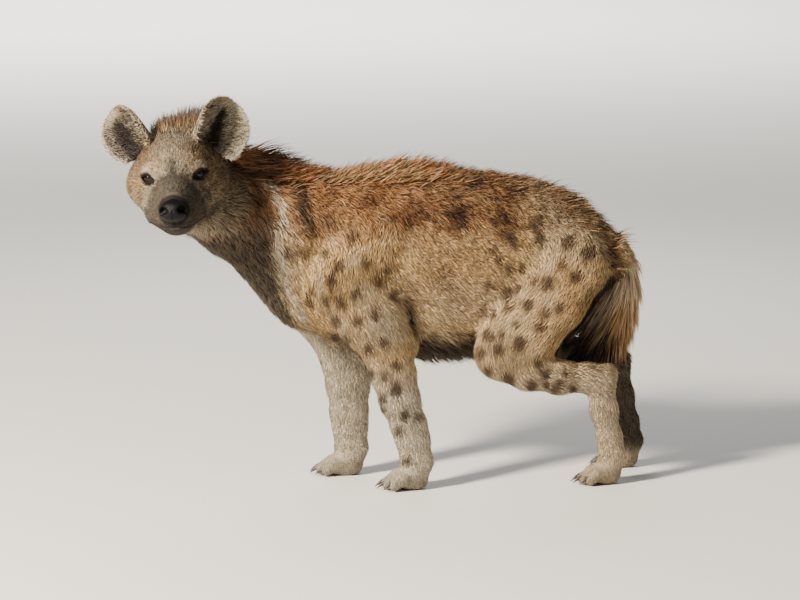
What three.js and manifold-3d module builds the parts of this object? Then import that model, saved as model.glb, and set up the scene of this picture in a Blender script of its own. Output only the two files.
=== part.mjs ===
// A spotted hyena, life size, standing with its head turned to look over its left shoulder.
// Millimetres, +Z up. It faces -X, its left side is towards -Y, and its feet stand on Z = 0.
//
// The body is modelled whole, as a field: a function that is negative inside the animal and positive
// outside. The field is turned into a skin of triangles, the skin is thinned, and the result is parted
// with thin cuts.

import * as THREE from "three";
import { mergeVertices } from "three/addons/utils/BufferGeometryUtils.js";
import Module from "manifold-3d";

const wasm = await Module();
wasm.setup();

// Driving sizes
const GAP = 0.3; // between nodes that touch
const SIDES = { left: -1, right: 1 };
const PAW_TOP = 60; // height of the cut between a leg and its paw
const FLOOR = 0;
const BODY_CELL = 12;
const HEAD_CELL = 5;
const PAW_CELL = 5;
const NOSE_CELL = 3.5;

// Triangles that each thinned skin keeps
const BODY_TRIANGLES = 3450;
const HEAD_TRIANGLES = 2200;
const NOSE_TRIANGLES = 360;
const PAW_TRIANGLES = 270;

// Where the body is parted. Each plane has a point and the way it faces.
const NECK_CUT = { at: [-425, -34, 650], towards: [-0.8, -0.5, 0.25] };
const SHOULDER_CUT = { at: [-205, 0, 529], towards: [-0.911, 0, 0.411] };
const MIDDLE = (side) => ({ at: [0, 0, 0], towards: [0, side, 0] });

// Fields

// Joins two distances with a soft fillet about as wide as blend.
function melt(a, b, blend) {
  const h = Math.max(blend - Math.abs(a - b), 0) / blend;
  return Math.min(a, b) - (h * h * blend) / 4;
}

// Takes b away from a, with a soft edge.
const carve = (a, b, blend) => -melt(-a, b, blend);

// A row of joints [x, y, z, radius], filled out between each two. narrow squeezes it sideways.
function chain(joints, narrow = 1, blend = 14) {
  return (x, y, z) => {
    let least = Infinity;
    for (let i = 1; i < joints.length; i++) {
      const [ax, ay, az, ar] = joints[i - 1];
      const [bx, by, bz, br] = joints[i];
      const ex = bx - ax;
      const ey = (by - ay) * narrow;
      const ez = bz - az;
      const px = x - ax;
      const py = (y - ay) * narrow;
      const pz = z - az;
      const along = (px * ex + py * ey + pz * ez) / (ex * ex + ey * ey + ez * ez);
      const t = Math.min(1, Math.max(0, along));
      const d = Math.hypot(px - t * ex, py - t * ey, pz - t * ez) - ar - t * (br - ar);
      least = least === Infinity ? d : melt(least, d, blend);
    }
    return least;
  };
}

// An egg with three radii, turned by angles in degrees about X, Y and Z.
function egg(centre, radii, turn = [0, 0, 0]) {
  const euler = new THREE.Euler(...turn.map(THREE.MathUtils.degToRad));
  const m = new THREE.Matrix4().makeRotationFromEuler(euler).transpose().elements;
  const [cx, cy, cz] = centre;
  const [rx, ry, rz] = radii;
  return (x, y, z) => {
    const px = x - cx;
    const py = y - cy;
    const pz = z - cz;
    const u = (m[0] * px + m[4] * py + m[8] * pz) / rx;
    const v = (m[1] * px + m[5] * py + m[9] * pz) / ry;
    const w = (m[2] * px + m[6] * py + m[10] * pz) / rz;
    const far = Math.hypot(u, v, w);
    return (far * (far - 1)) / Math.max(Math.hypot(u / rx, v / ry, w / rz), 1e-9);
  };
}

// Melts a list of [form, blend] into one field.
function melted(forms) {
  return (x, y, z) => {
    let d = forms[0][0](x, y, z);
    for (let i = 1; i < forms.length; i++) d = melt(d, forms[i][0](x, y, z), forms[i][1]);
    return d;
  };
}

// Leaves a form out of the reckoning where it is further off than reach from its own box.
function nearby(form, low, high, reach = 60) {
  return (x, y, z) => {
    const dx = Math.max(low[0] - x, 0, x - high[0]);
    const dy = Math.max(low[1] - y, 0, y - high[1]);
    const dz = Math.max(low[2] - z, 0, z - high[2]);
    const far = Math.hypot(dx, dy, dz);
    return far > reach ? far : form(x, y, z);
  };
}

// Trunk and neck

const TRUNK = chain(
  [
    [-185, 0, 500, 148],
    [-110, 0, 486, 176],
    [-20, 0, 478, 186],
    [80, 0, 476, 192],
    [180, 0, 478, 188],
    [270, 0, 482, 170],
    [325, 0, 478, 138],
    [400, 0, 464, 90],
  ],
  1.62,
  24,
);
const NECK = chain(
  [
    [-150, 0, 505, 148],
    [-235, -3, 541, 119],
    [-300, -8, 566, 104],
    [-365, -18, 602, 95],
    [-430, -36, 645, 88],
    [-462, -52, 672, 84],
  ],
  1.3,
  30,
);
const TORSO_FORMS = [
  [TRUNK, 0],
  [NECK, 60],
  [egg([-225, 0, 425], [52, 76, 72]), 50], // breast, between the points of the shoulders
  [egg([-30, 0, 616], [110, 44, 46]), 40], // withers
  [egg([448, 0, 480], [46, 38, 32]), 40], // croup, under the root of the tail
];

// Legs. Each is a row of joints for the flesh above and one for the bone below.
// armpit and fold are planes that free the leg from the trunk. parts are the levels that divide it.

const ARMPIT = { at: (side) => [0, side * 86, 336], towards: (side) => [0, side * 0.82, -0.573] };
const GROIN = { at: (side) => [0, side * 8, 300], towards: (side) => [0, side * 0.94, -0.341] };
const BEHIND_SHOULDER = { at: [50, 0, 300], towards: [-0.995, 0, -0.1] };

const LEGS = {
  foreleg_left: {
    side: SIDES.left,
    narrow: 1.3,
    upper: [
      [-52, -80, 545, 58],
      [-130, -98, 455, 74],
      [-75, -98, 375, 76],
      [-42, -92, 320, 60],
    ],
    lower: [
      [-42, -92, 320, 60],
      [-28, -90, 258, 51],
      [-13, -89, 195, 44],
      [6, -88, 140, 39],
      [16, -88, 105, 37],
      [24, -88, 60, 34],
      [20, -88, 32, 30],
    ],
    point: [2, -88, 312, 28], // the elbow
    paw: { name: "forepaw_left", at: [8, -88], turn: 4, scale: 1.0 },
    root: [ARMPIT, BEHIND_SHOULDER],
    levels: { foreleg_left_upper: 262, foreleg_left_lower: PAW_TOP },
  },
  foreleg_right: {
    side: SIDES.right,
    narrow: 1.3,
    upper: [
      [-62, 80, 545, 58],
      [-172, 96, 448, 74],
      [-160, 95, 376, 78],
      [-130, 92, 325, 64],
    ],
    lower: [
      [-130, 92, 325, 64],
      [-110, 90, 262, 54],
      [-102, 88, 200, 48],
      [-100, 86, 140, 42],
      [-98, 86, 105, 39],
      [-95, 85, 60, 35],
      [-99, 85, 32, 31],
    ],
    point: [-78, 88, 318, 28],
    paw: { name: "forepaw_right", at: [-112, 85], turn: -6, scale: 1.0 },
    root: [ARMPIT, BEHIND_SHOULDER],
    levels: { foreleg_right_upper: 262, foreleg_right_lower: PAW_TOP },
  },
  hindleg_left: {
    side: SIDES.left,
    narrow: 1.35,
    upper: [
      [354, -66, 468, 94],
      [316, -84, 408, 80],
      [256, -94, 345, 82],
      [208, -98, 300, 66],
    ],
    lower: [
      [212, -98, 296, 60],
      [262, -98, 258, 48],
      [330, -96, 238, 39],
      [392, -94, 234, 34],
      [420, -93, 226, 34],
      [430, -92, 160, 30],
      [443, -91, 100, 28],
      [449, -90, 60, 29],
      [442, -90, 32, 28],
    ],
    point: [438, -92, 247, 18], // the heel
    paw: { name: "hindpaw_left", at: [430, -90], turn: 5, scale: 0.93 },
    root: [GROIN, { at: [100, 0, 250], towards: [0.94, 0, -0.342] }],
    levels: { thigh_left: 288, shank_left: 186, metatarsus_left: PAW_TOP },
  },
  hindleg_right: {
    side: SIDES.right,
    narrow: 1.35,
    upper: [
      [364, 66, 468, 94],
      [358, 84, 410, 80],
      [322, 94, 350, 78],
      [292, 96, 312, 62],
    ],
    lower: [
      [294, 96, 308, 60],
      [345, 94, 276, 48],
      [410, 90, 252, 39],
      [466, 87, 238, 34],
      [488, 86, 226, 34],
      [502, 85, 160, 30],
      [516, 84, 100, 28],
      [522, 84, 60, 29],
      [516, 84, 32, 28],
    ],
    point: [506, 86, 247, 18],
    paw: { name: "hindpaw_right", at: [504, 84], turn: -5, scale: 0.93 },
    root: [GROIN, { at: [185, 0, 250], towards: [0.94, 0, -0.342] }],
    levels: { thigh_right: 305, shank_right: 186, metatarsus_right: PAW_TOP },
  },
};

const LOWER_NARROW = 1.18; // shins are rounder than thighs
for (const leg of Object.values(LEGS)) {
  const [px, py, pz, size] = leg.point;
  const joints = [...leg.upper, ...leg.lower];
  const lows = [0, 1, 2].map((i) => Math.min(...joints.map((j) => j[i] - j[3])));
  const highs = [0, 1, 2].map((i) => Math.max(...joints.map((j) => j[i] + j[3])));
  leg.lowerForm = chain(leg.lower, LOWER_NARROW, 16);
  const form = melted([
    [chain(leg.upper, leg.narrow, 30), 0],
    [leg.lowerForm, 26],
    [egg([px, py, pz], [size * 1.1, size * 0.85, size]), 18],
  ]);
  TORSO_FORMS.push([nearby(form, lows, highs), 34]);
}

// Head. Its own axes run forward to the nose, left to its left eye, and up, from midway between the eyes.

const HEAD = {
  at: new THREE.Vector3(-496, -165, 694),
  forward: new THREE.Vector3(-0.16, -0.986, -0.035).normalize(),
  roll: 5.2, // degrees, the left ear raised
};
const headUp = new THREE.Vector3(0, 0, 1).addScaledVector(HEAD.forward, -HEAD.forward.z).normalize();
headUp.applyAxisAngle(HEAD.forward, THREE.MathUtils.degToRad(HEAD.roll));
const headLeft = new THREE.Vector3().crossVectors(headUp, HEAD.forward);
const headMatrix = new THREE.Matrix4().makeBasis(HEAD.forward, headLeft, headUp).setPosition(HEAD.at);
const intoHead = headMatrix.clone().invert().elements;

// The same form, given in the head's own axes.
function onHead(form) {
  const m = intoHead;
  return (x, y, z) =>
    form(
      m[0] * x + m[4] * y + m[8] * z + m[12],
      m[1] * x + m[5] * y + m[9] * z + m[13],
      m[2] * x + m[6] * y + m[10] * z + m[14],
    );
}
const both = (make) => [-1, 1].map(make);

const MUZZLE = [
  [0, 0, -34, 54],
  [34, 0, -48, 49],
  [60, 0, -58, 40],
];
const BRIDGE = [
  [-10, 0, 6, 22],
  [46, 0, -18, 21],
  [78, 0, -36, 17],
];
const UPPER_LIP = (s) => [
  [12, s * 54, -54, 21],
  [46, s * 41, -68, 21],
  [72, s * 24, -76, 19],
];
const LOWER_JAW = [
  [-70, 0, -80, 42],
  [6, 0, -86, 35],
  [50, 0, -88, 27],
  [72, 0, -88, 18],
];
const HEAD_FORMS = [
  [egg([-76, 0, 18], [92, 80, 72]), 0], // braincase
  [egg([-30, 0, 18], [60, 68, 44]), 30], // forehead
  ...both((s) => [egg([-54, s * 60, -22], [58, 50, 52]), 34]), // cheeks
  [chain(MUZZLE, 1, 20), 30],
  [chain(BRIDGE, 0.85, 16), 18],
  ...both((s) => [chain(UPPER_LIP(s), 1, 12), 16]),
  [chain(LOWER_JAW, 0.88, 16), 20],
  ...both((s) => [egg([-62, s * 42, -62], [54, 37, 40]), 26]), // angle of the jaw
  ...both((s) => [egg([-4, s * 46, 19], [24, 25, 12], [0, 18, 0]), 14]), // brows
  [egg([98, 0, -58], [24, 31, 24]), 5], // pad of the nose
];
const HEAD_REACH = 210;
const headBox = [-1, 1].map((way) => HEAD.at.toArray().map((v) => v + way * HEAD_REACH));
const headForm = nearby(onHead(melted(HEAD_FORMS)), ...headBox);
const whole = melted([...TORSO_FORMS, [headForm, 46]]);

// Turning a field into triangles

// Six four-cornered pieces fill each grid cell, and the surface crosses each of them as one or two
// triangles.
const AXIS_ORDERS = [[1, 2, 4], [2, 4, 1], [4, 1, 2], [2, 1, 4], [1, 4, 2], [4, 2, 1]];
const PIECES = AXIS_ORDERS.map(([a, b], i) => (i < 3 ? [0, a, a | b, 7] : [0, a | b, a, 7]));

function skinOf(field, low, high, cell) {
  const n = low.map((a, i) => Math.ceil((high[i] - a) / cell) + 1);
  const [nx, ny, nz] = n;
  const at = (i, j, k) => (i * ny + j) * nz + k;
  const values = new Float32Array(nx * ny * nz);
  for (let i = 0; i < nx; i++)
    for (let j = 0; j < ny; j++)
      for (let k = 0; k < nz; k++) {
        const edge = i === 0 || j === 0 || k === 0 || i === nx - 1 || j === ny - 1 || k === nz - 1;
        const d = field(low[0] + i * cell, low[1] + j * cell, low[2] + k * cell);
        values[at(i, j, k)] = edge ? Math.max(d, cell * 0.5) : d;
      }
  const place = (g) => {
    const k = g % nz;
    const j = ((g - k) / nz) % ny;
    const i = Math.floor(g / (ny * nz));
    return [low[0] + i * cell, low[1] + j * cell, low[2] + k * cell];
  };
  const points = [];
  const known = new Map();
  const crossing = (a, b) => {
    const key = Math.min(a, b) * values.length + Math.max(a, b);
    if (!known.has(key)) {
      const t = Math.min(0.96, Math.max(0.04, values[a] / (values[a] - values[b])));
      const [p, q] = [place(a), place(b)];
      known.set(key, points.push(p.map((v, i) => v + t * (q[i] - v))) - 1);
    }
    return known.get(key);
  };
  const triangles = [];
  for (let i = 0; i < nx - 1; i++)
    for (let j = 0; j < ny - 1; j++)
      for (let k = 0; k < nz - 1; k++) {
        const cornerAt = (c) => at(i + (c & 1), j + ((c >> 1) & 1), k + (c >> 2));
        const corner = [0, 1, 2, 3, 4, 5, 6, 7].map(cornerAt);
        const inside = corner.map((g) => values[g] < 0);
        if (inside.every(Boolean) || !inside.some(Boolean)) continue;
        for (const piece of PIECES) {
          const within = piece.filter((c) => inside[c]);
          const outside = piece.filter((c) => !inside[c]);
          if (!within.length || !outside.length) continue;
          const few = within.length <= outside.length ? within : outside;
          const many = few === within ? outside : within;
          const moves = few.reduce((sum, c, done) => sum + piece.indexOf(c) - done, 0);
          if (moves % 2) many.reverse();
          const meet = (a, b) => crossing(corner[a], corner[b]);
          const [a, b] = few;
          const loop =
            few.length === 1
              ? many.map((c) => meet(a, c))
              : [meet(a, many[0]), meet(a, many[1]), meet(b, many[1]), meet(b, many[0])];
          if (few === outside) loop.reverse();
          for (let v = 2; v < loop.length; v++) triangles.push([loop[0], loop[v - 1], loop[v]]);
        }
      }
  return { points, triangles };
}

// The direction in which a field grows fastest.
function slope(field, [x, y, z], h = 1) {
  return [
    (field(x + h, y, z) - field(x - h, y, z)) / (2 * h),
    (field(x, y + h, z) - field(x, y - h, z)) / (2 * h),
    (field(x, y, z + h) - field(x, y, z - h)) / (2 * h),
  ];
}

// Thinning: the edge whose loss changes the shape least is closed up, again and again,
// until few enough triangles are left.
function thin({ points, triangles }, target) {
  const quadrics = points.map(() => new Float64Array(10));
  const faces = triangles.map((t) => [...t]);
  const facesOf = points.map(() => new Set());
  const age = new Int32Array(points.length);
  const sub = (a, b) => [a[0] - b[0], a[1] - b[1], a[2] - b[2]];
  const cross = (a, b) => [a[1] * b[2] - a[2] * b[1], a[2] * b[0] - a[0] * b[2], a[0] * b[1] - a[1] * b[0]];
  const dot = (a, b) => a[0] * b[0] + a[1] * b[1] + a[2] * b[2];
  const normalOf = (a, b, c) => cross(sub(b, a), sub(c, a));
  faces.forEach((f, id) => {
    const n = normalOf(...f.map((v) => points[v]));
    const size = Math.hypot(...n) || 1;
    const [a, b, c] = n.map((v) => v / size);
    const d = -dot([a, b, c], points[f[0]]);
    const q = [a * a, a * b, a * c, a * d, b * b, b * c, b * d, c * c, c * d, d * d];
    for (const v of f) {
      facesOf[v].add(id);
      q.forEach((value, i) => (quadrics[v][i] += value * size));
    }
  });
  const errorAt = (q, [x, y, z]) =>
    q[0] * x * x + 2 * q[1] * x * y + 2 * q[2] * x * z + 2 * q[3] * x + q[4] * y * y +
    2 * q[5] * y * z + 2 * q[6] * y + q[7] * z * z + 2 * q[8] * z + q[9];
  const best = (q, a, b) => {
    const middle = [0, 1, 2].map((i) => (points[a][i] + points[b][i]) / 2);
    const m = new THREE.Matrix3().set(q[0], q[1], q[2], q[1], q[4], q[5], q[2], q[5], q[7]);
    const reach = Math.hypot(...sub(points[a], points[b]));
    if (Math.abs(m.determinant()) > 1e-3 * (q[0] + q[4] + q[7]) ** 3) {
      const p = new THREE.Vector3(-q[3], -q[6], -q[8]).applyMatrix3(m.invert()).toArray();
      if (Math.hypot(...sub(p, middle)) < reach) return p;
    }
    return [points[a], points[b], middle].reduce((x, y) => (errorAt(q, x) <= errorAt(q, y) ? x : y));
  };
  const heap = [];
  const push = (item) => {
    let i = heap.push(item) - 1;
    while (i > 0 && heap[(i - 1) >> 1].cost > item.cost) {
      heap[i] = heap[(i - 1) >> 1];
      i = (i - 1) >> 1;
    }
    heap[i] = item;
  };
  const pop = () => {
    const top = heap[0];
    const last = heap.pop();
    if (!heap.length) return top;
    let i = 0;
    for (;;) {
      let child = 2 * i + 1;
      if (child >= heap.length) break;
      if (child + 1 < heap.length && heap[child + 1].cost < heap[child].cost) child++;
      if (heap[child].cost >= last.cost) break;
      heap[i] = heap[child];
      i = child;
    }
    heap[i] = last;
    return top;
  };
  const offer = (a, b) => {
    const q = quadrics[a].map((v, i) => v + quadrics[b][i]);
    const to = best(q, a, b);
    const stretch = 1e-4 * Math.hypot(...sub(points[a], points[b])) ** 4;
    push({ cost: errorAt(q, to) + stretch, a, b, to, ages: [age[a], age[b]] });
  };
  const neighbours = (v) => new Set([...facesOf[v]].flatMap((f) => faces[f]).filter((w) => w !== v));
  points.forEach((_, v) => neighbours(v).forEach((w) => v < w && offer(v, w)));
  let left = faces.length;
  while (left > target && heap.length) {
    const { a, b, to, ages } = pop();
    if (age[a] !== ages[0] || age[b] !== ages[1]) continue;
    const ringB = neighbours(b);
    const shared = [...neighbours(a)].filter((v) => ringB.has(v));
    if (shared.length !== 2) continue;
    const turnsOver = [a, b].some((v) =>
      [...facesOf[v]].some((f) => {
        if (faces[f].includes(a) && faces[f].includes(b)) return false;
        const before = normalOf(...faces[f].map((w) => points[w]));
        const after = normalOf(...faces[f].map((w) => (w === v ? to : points[w])));
        return dot(before, after) < 0.3 * Math.hypot(...before) * Math.hypot(...after);
      }),
    );
    if (turnsOver) continue;
    points[a] = to;
    quadrics[a] = quadrics[a].map((v, i) => v + quadrics[b][i]);
    for (const f of facesOf[b]) {
      if (faces[f].includes(a)) {
        faces[f].forEach((v) => v !== b && facesOf[v].delete(f));
        faces[f] = null;
        left--;
      } else {
        faces[f] = faces[f].map((v) => (v === b ? a : v));
        facesOf[a].add(f);
      }
    }
    facesOf[b].clear();
    age[b] = -1;
    age[a]++;
    const ring = neighbours(a);
    ring.forEach((v) => offer(a, v));
  }
  return { points, triangles: faces.filter(Boolean) };
}

// Solids

function solidFrom({ points, triangles }) {
  const g = new THREE.BufferGeometry();
  g.setAttribute("position", new THREE.Float32BufferAttribute(points.flat(), 3));
  g.setIndex(triangles.flat());
  return solidOf(g);
}

function solidOf(geometry) {
  const g = geometry.clone();
  for (const name of Object.keys(g.attributes)) if (name !== "position") g.deleteAttribute(name);
  const merged = mergeVertices(g, 1e-4);
  const triVerts = new Uint32Array(merged.index.array);
  return new wasm.Manifold(
    new wasm.Mesh({ numProp: 3, vertProperties: merged.attributes.position.array, triVerts }),
  );
}

function geometryOf(solid) {
  const { vertProperties, triVerts } = solid.getMesh();
  const g = new THREE.BufferGeometry();
  g.setAttribute("position", new THREE.BufferAttribute(new Float32Array(vertProperties), 3));
  g.setIndex(new THREE.BufferAttribute(new Uint32Array(triVerts), 1));
  return g;
}

// The biggest closed surface of a solid: loose scraps and sealed hollows go.
function largest(solid) {
  return solid.decompose().reduce((a, b) => (a.volume() >= b.volume() ? a : b));
}

// Everything on the far side of a plane, as a big block.
const BLOCK = 3000;
function beyond(at, towards, shift = 0) {
  const n = new THREE.Vector3(...towards).normalize();
  const q = new THREE.Quaternion().setFromUnitVectors(new THREE.Vector3(0, 0, 1), n);
  const g = new THREE.BoxGeometry(BLOCK, BLOCK, BLOCK);
  g.translate(0, 0, BLOCK / 2 + shift).applyQuaternion(q).translate(...at);
  return solidOf(g);
}

// Parts a solid by a plane. The first piece lies where the plane points.
function parted(solid, { at, towards }) {
  const back = towards.map((v) => -v);
  return [solid.intersect(beyond(at, towards, GAP / 2)), solid.intersect(beyond(at, back, GAP / 2))];
}

// Where several planes all face the same piece, that piece.
const region = (planes, shift) =>
  planes.map(({ at, towards }) => beyond(at, towards, shift)).reduce((a, b) => a.intersect(b));

// A skin over rings of points, closed at both ends. A last ring of one point is a tip.
function loft(rings) {
  const points = rings.flat().map((p) => p.toArray());
  const starts = rings.map((_, i) => rings.slice(0, i).reduce((sum, r) => sum + r.length, 0));
  const triangles = [];
  rings.slice(1).forEach((ring, i) => {
    const n = rings[i].length;
    for (let k = 0; k < n; k++) {
      const [a, b] = [starts[i] + k, starts[i] + ((k + 1) % n)];
      if (ring.length === 1) {
        triangles.push([a, b, starts[i + 1]]);
        continue;
      }
      const [c, d] = [starts[i + 1] + k, starts[i + 1] + ((k + 1) % n)];
      triangles.push([a, b, d], [a, d, c]);
    }
  });
  const last = rings.at(-1);
  for (let k = 2; k < rings[0].length; k++) triangles.push([0, k, k - 1]);
  for (let k = 2; k < last.length; k++) triangles.push([0, k - 1, k].map((v) => starts.at(-1) + v));
  const volume = triangles.reduce((sum, [a, b, c]) => {
    const [p, q, r] = [points[a], points[b], points[c]].map((v) => new THREE.Vector3(...v));
    return sum + p.dot(q.cross(r));
  }, 0);
  if (volume < 0) triangles.forEach((t) => t.reverse());
  return solidFrom({ points, triangles });
}

// Points round an oval. across and up are its directions.
function circle(centre, across, up, wide, tall, count) {
  return Array.from({ length: count }, (_, k) => {
    const turned = (k / count) * 2 * Math.PI;
    return centre
      .clone()
      .addScaledVector(across, wide * Math.sin(turned))
      .addScaledVector(up, tall * Math.cos(turned));
  });
}

// A number that looks random but is the same every time.
function seeded(seed) {
  let state = seed;
  return (low, high) => {
    state = (state * 16807) % 2147483647;
    return low + ((high - low) * state) / 2147483647;
  };
}

// A flat lock of hair: it leaves its root one way, bends, and tapers to a tip that points another way.
const LOCK_RINGS = [
  [0, 0.75, 1],
  [0.34, 1, 1],
  [0.7, 0.66, 0.7],
];
function lock({ root, start, end, face, length, width, thick }) {
  const bend = root.clone().addScaledVector(start, length / 2);
  const tip = bend.clone().addScaledVector(end, length / 2);
  const curve = new THREE.QuadraticBezierCurve3(root, bend, tip);
  const rings = LOCK_RINGS.map(([t, wide, deep]) => {
    const p = curve.getPoint(t);
    const along = curve.getTangent(t);
    const across = along.clone().cross(face).normalize();
    const flat = across.clone().cross(along);
    const place = (a, b) => p.clone().addScaledVector(across, a).addScaledVector(flat, b);
    return [
      place((wide * width) / 2, 0),
      place(0, (deep * thick) / 2),
      place((-wide * width) / 2, 0),
      place(0, (-deep * thick) / 2),
    ];
  });
  return loft([...rings, [tip]]);
}

// Where a line from one point to another comes out of the field.
function surfaceBetween(inner, outer, field = whole) {
  const at = (t) => inner.clone().lerp(outer, t);
  let [low, high] = [0, 1];
  for (let i = 0; i < 22; i++) {
    const middle = (low + high) / 2;
    if (field(...at(middle).toArray()) < 0) low = middle;
    else high = middle;
  }
  return at(low);
}

// The parts

const COAT = 0xb39a78;
const root = new THREE.Group();
function add(name, solid, colour = COAT, roughness = 0.9) {
  const material = new THREE.MeshStandardMaterial({ color: colour, roughness, metalness: 0 });
  const mesh = new THREE.Mesh(geometryOf(largest(solid)), material);
  mesh.name = name;
  root.add(mesh);
}

// Mane: rows of standing locks from the nape, over the withers, to the middle of the back.
const MANE = {
  start: -418,
  end: 110,
  step: 31,
  rows: [-22, 0, 22],
  sunk: 12,
  width: 36,
  thick: 7,
};
// How long the locks are at a place along the back: longest on the nape and over the withers.
const hump = (x, middle, reach) => Math.exp(-(((x - middle) / reach) ** 2));
const maneLength = (x) => 30 + 40 * hump(x, -370, 90) + 32 * hump(x, -10, 95);
const spineY = (x) => -40 * Math.max(0, (-250 - x) / 180) ** 1.6;
function maneLocks() {
  const draw = seeded(11);
  const locks = [];
  MANE.rows.forEach((offset, row) => {
    for (let x = MANE.start + (row % 2) * (MANE.step / 2); x < MANE.end; x += MANE.step) {
      const y = spineY(x) + offset + draw(-4, 4);
      const skin = surfaceBetween(new THREE.Vector3(x, y * 0.6, 540), new THREE.Vector3(x, y, 900));
      const out = new THREE.Vector3(...slope(whole, skin.toArray(), 6)).normalize();
      const back = new THREE.Vector3(1, 0, -0.15).addScaledVector(out, -out.x).normalize();
      const start = out.clone().multiplyScalar(0.86).addScaledVector(back, draw(0.35, 0.6)).normalize();
      const end = out.clone().multiplyScalar(0.5).addScaledVector(back, draw(0.8, 1)).normalize();
      const side = new THREE.Vector3().crossVectors(back, out);
      const face = side.clone().multiplyScalar(draw(0.6, 1) * (draw(-1, 1) > 0 ? 1 : -1));
      face.addScaledVector(out, offset ? 0.7 : 0.25).normalize();
      locks.push(
        lock({
          root: skin.clone().addScaledVector(out, -MANE.sunk),
          start,
          end,
          face,
          length: MANE.sunk + maneLength(x) * draw(0.85, 1.1),
          width: MANE.width * draw(0.85, 1.15),
          thick: MANE.thick,
        }),
      );
    }
  });
  return locks;
}

const bodySkin = thin(skinOf(whole, [-470, -240, 30], [560, 240, 760], BODY_CELL), BODY_TRIANGLES);
const headSkin = thin(skinOf(whole, [-690, -340, 530], [-350, 60, 810], HEAD_CELL), HEAD_TRIANGLES);
const mane = wasm.Manifold.union(maneLocks());
const behindHead = region([{ at: NECK_CUT.at, towards: NECK_CUT.towards.map((v) => -v) }], GAP / 2);
let body = solidFrom(bodySkin).add(mane).intersect(behindHead);

// Paws: four toes and a pad, on the end of each leg.

const TOES = [
  { reach: 38, spread: -25 },
  { reach: 49, spread: -9 },
  { reach: 49, spread: 9 },
  { reach: 38, spread: 25 },
];
const CLAW = { colour: 0x2e2723, start: [4, 18], knee: [17, 15], tip: [25, 5], thick: [4.4, 3.4] };

function pawForm({ at, turn, scale }) {
  const angle = THREE.MathUtils.degToRad(180 + turn);
  const [c, s] = [Math.cos(angle) * scale, Math.sin(angle) * scale];
  const place = (f, l, z, r) => [at[0] + f * c - l * s, at[1] + f * s + l * c, z * scale, r * scale];
  const toes = TOES.map(({ reach, spread }) => {
    const knuckles = [
      place(-8, spread * 0.7, 34, 18),
      place(reach * 0.55, spread, 26, 15),
      place(reach, spread * 1.1, 14, 13),
    ];
    return [chain(knuckles, 1, 6), 4];
  });
  const [px, py, pz] = place(-2, 0, 17, 0);
  return melted([...toes, [egg([px, py, pz], [36 * scale, 30 * scale, 22 * scale], [0, 0, turn]), 14]]);
}

// A claw: a bent, five-sided spike, given by [reach, height] from the middle of the toe's tip.
function clawSolid({ at, turn, scale }, { reach, spread }) {
  const angle = THREE.MathUtils.degToRad(180 + turn);
  const forward = new THREE.Vector3(Math.cos(angle), Math.sin(angle), 0);
  const left = new THREE.Vector3(-Math.sin(angle), Math.cos(angle), 0);
  const place = ([f, z]) =>
    new THREE.Vector3(at[0], at[1], z)
      .addScaledVector(forward, reach * scale + f)
      .addScaledVector(left, spread * 1.1 * scale);
  const up = new THREE.Vector3(0, 0, 1);
  const ring = (centre, r) => circle(centre, left, up, r * 0.8, r, 5);
  const [start, knee, tip] = [CLAW.start, CLAW.knee, CLAW.tip].map(place);
  return loft([ring(start, CLAW.thick[0]), ring(knee, CLAW.thick[1]), [tip]]);
}

for (const leg of Object.values(LEGS)) {
  const { side, paw, root: cuts, levels } = leg;
  const planes = [MIDDLE(side)];
  for (const { at, towards } of cuts) {
    planes.push({ at: at.call ? at(side) : at, towards: towards.call ? towards(side) : towards });
  }
  let limb = body.intersect(region(planes, GAP / 2));
  body = body.subtract(region(planes, -GAP / 2));
  for (const [part, level] of Object.entries(levels)) {
    const [upper, lower] = parted(limb, { at: [0, 0, level], towards: [0, 0, 1] });
    add(part, upper);
    limb = lower;
  }
  const [ax, ay] = paw.at;
  const foot = melted([[leg.lowerForm, 0], [pawForm(paw), 14]]);
  const skin = skinOf(foot, [ax - 80, ay - 55, -14], [ax + 70, ay + 55, PAW_TOP + 12], PAW_CELL);
  const shape = solidFrom(thin(skin, PAW_TRIANGLES));
  const slab = [
    { at: [0, 0, FLOOR], towards: [0, 0, 1] },
    { at: [0, 0, PAW_TOP - GAP / 2], towards: [0, 0, -1] },
  ];
  const footSolid = shape.intersect(region(slab, 0));
  add(paw.name, footSolid);
  TOES.forEach((toe, i) => {
    const claw = clawSolid(paw, toe).subtract(footSolid).translate([-GAP, 0, 0]);
    add(`claw_${paw.name}_${i + 1}`, claw, CLAW.colour, 0.4);
  });
}

const [neckPart, torsoPart] = parted(body, SHOULDER_CUT);
add("neck", neckPart);
add("torso", torsoPart);

// Tail: a core down the bone, and rows of long locks that hang from it.
// The lowest sweep forward between the legs.

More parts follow.
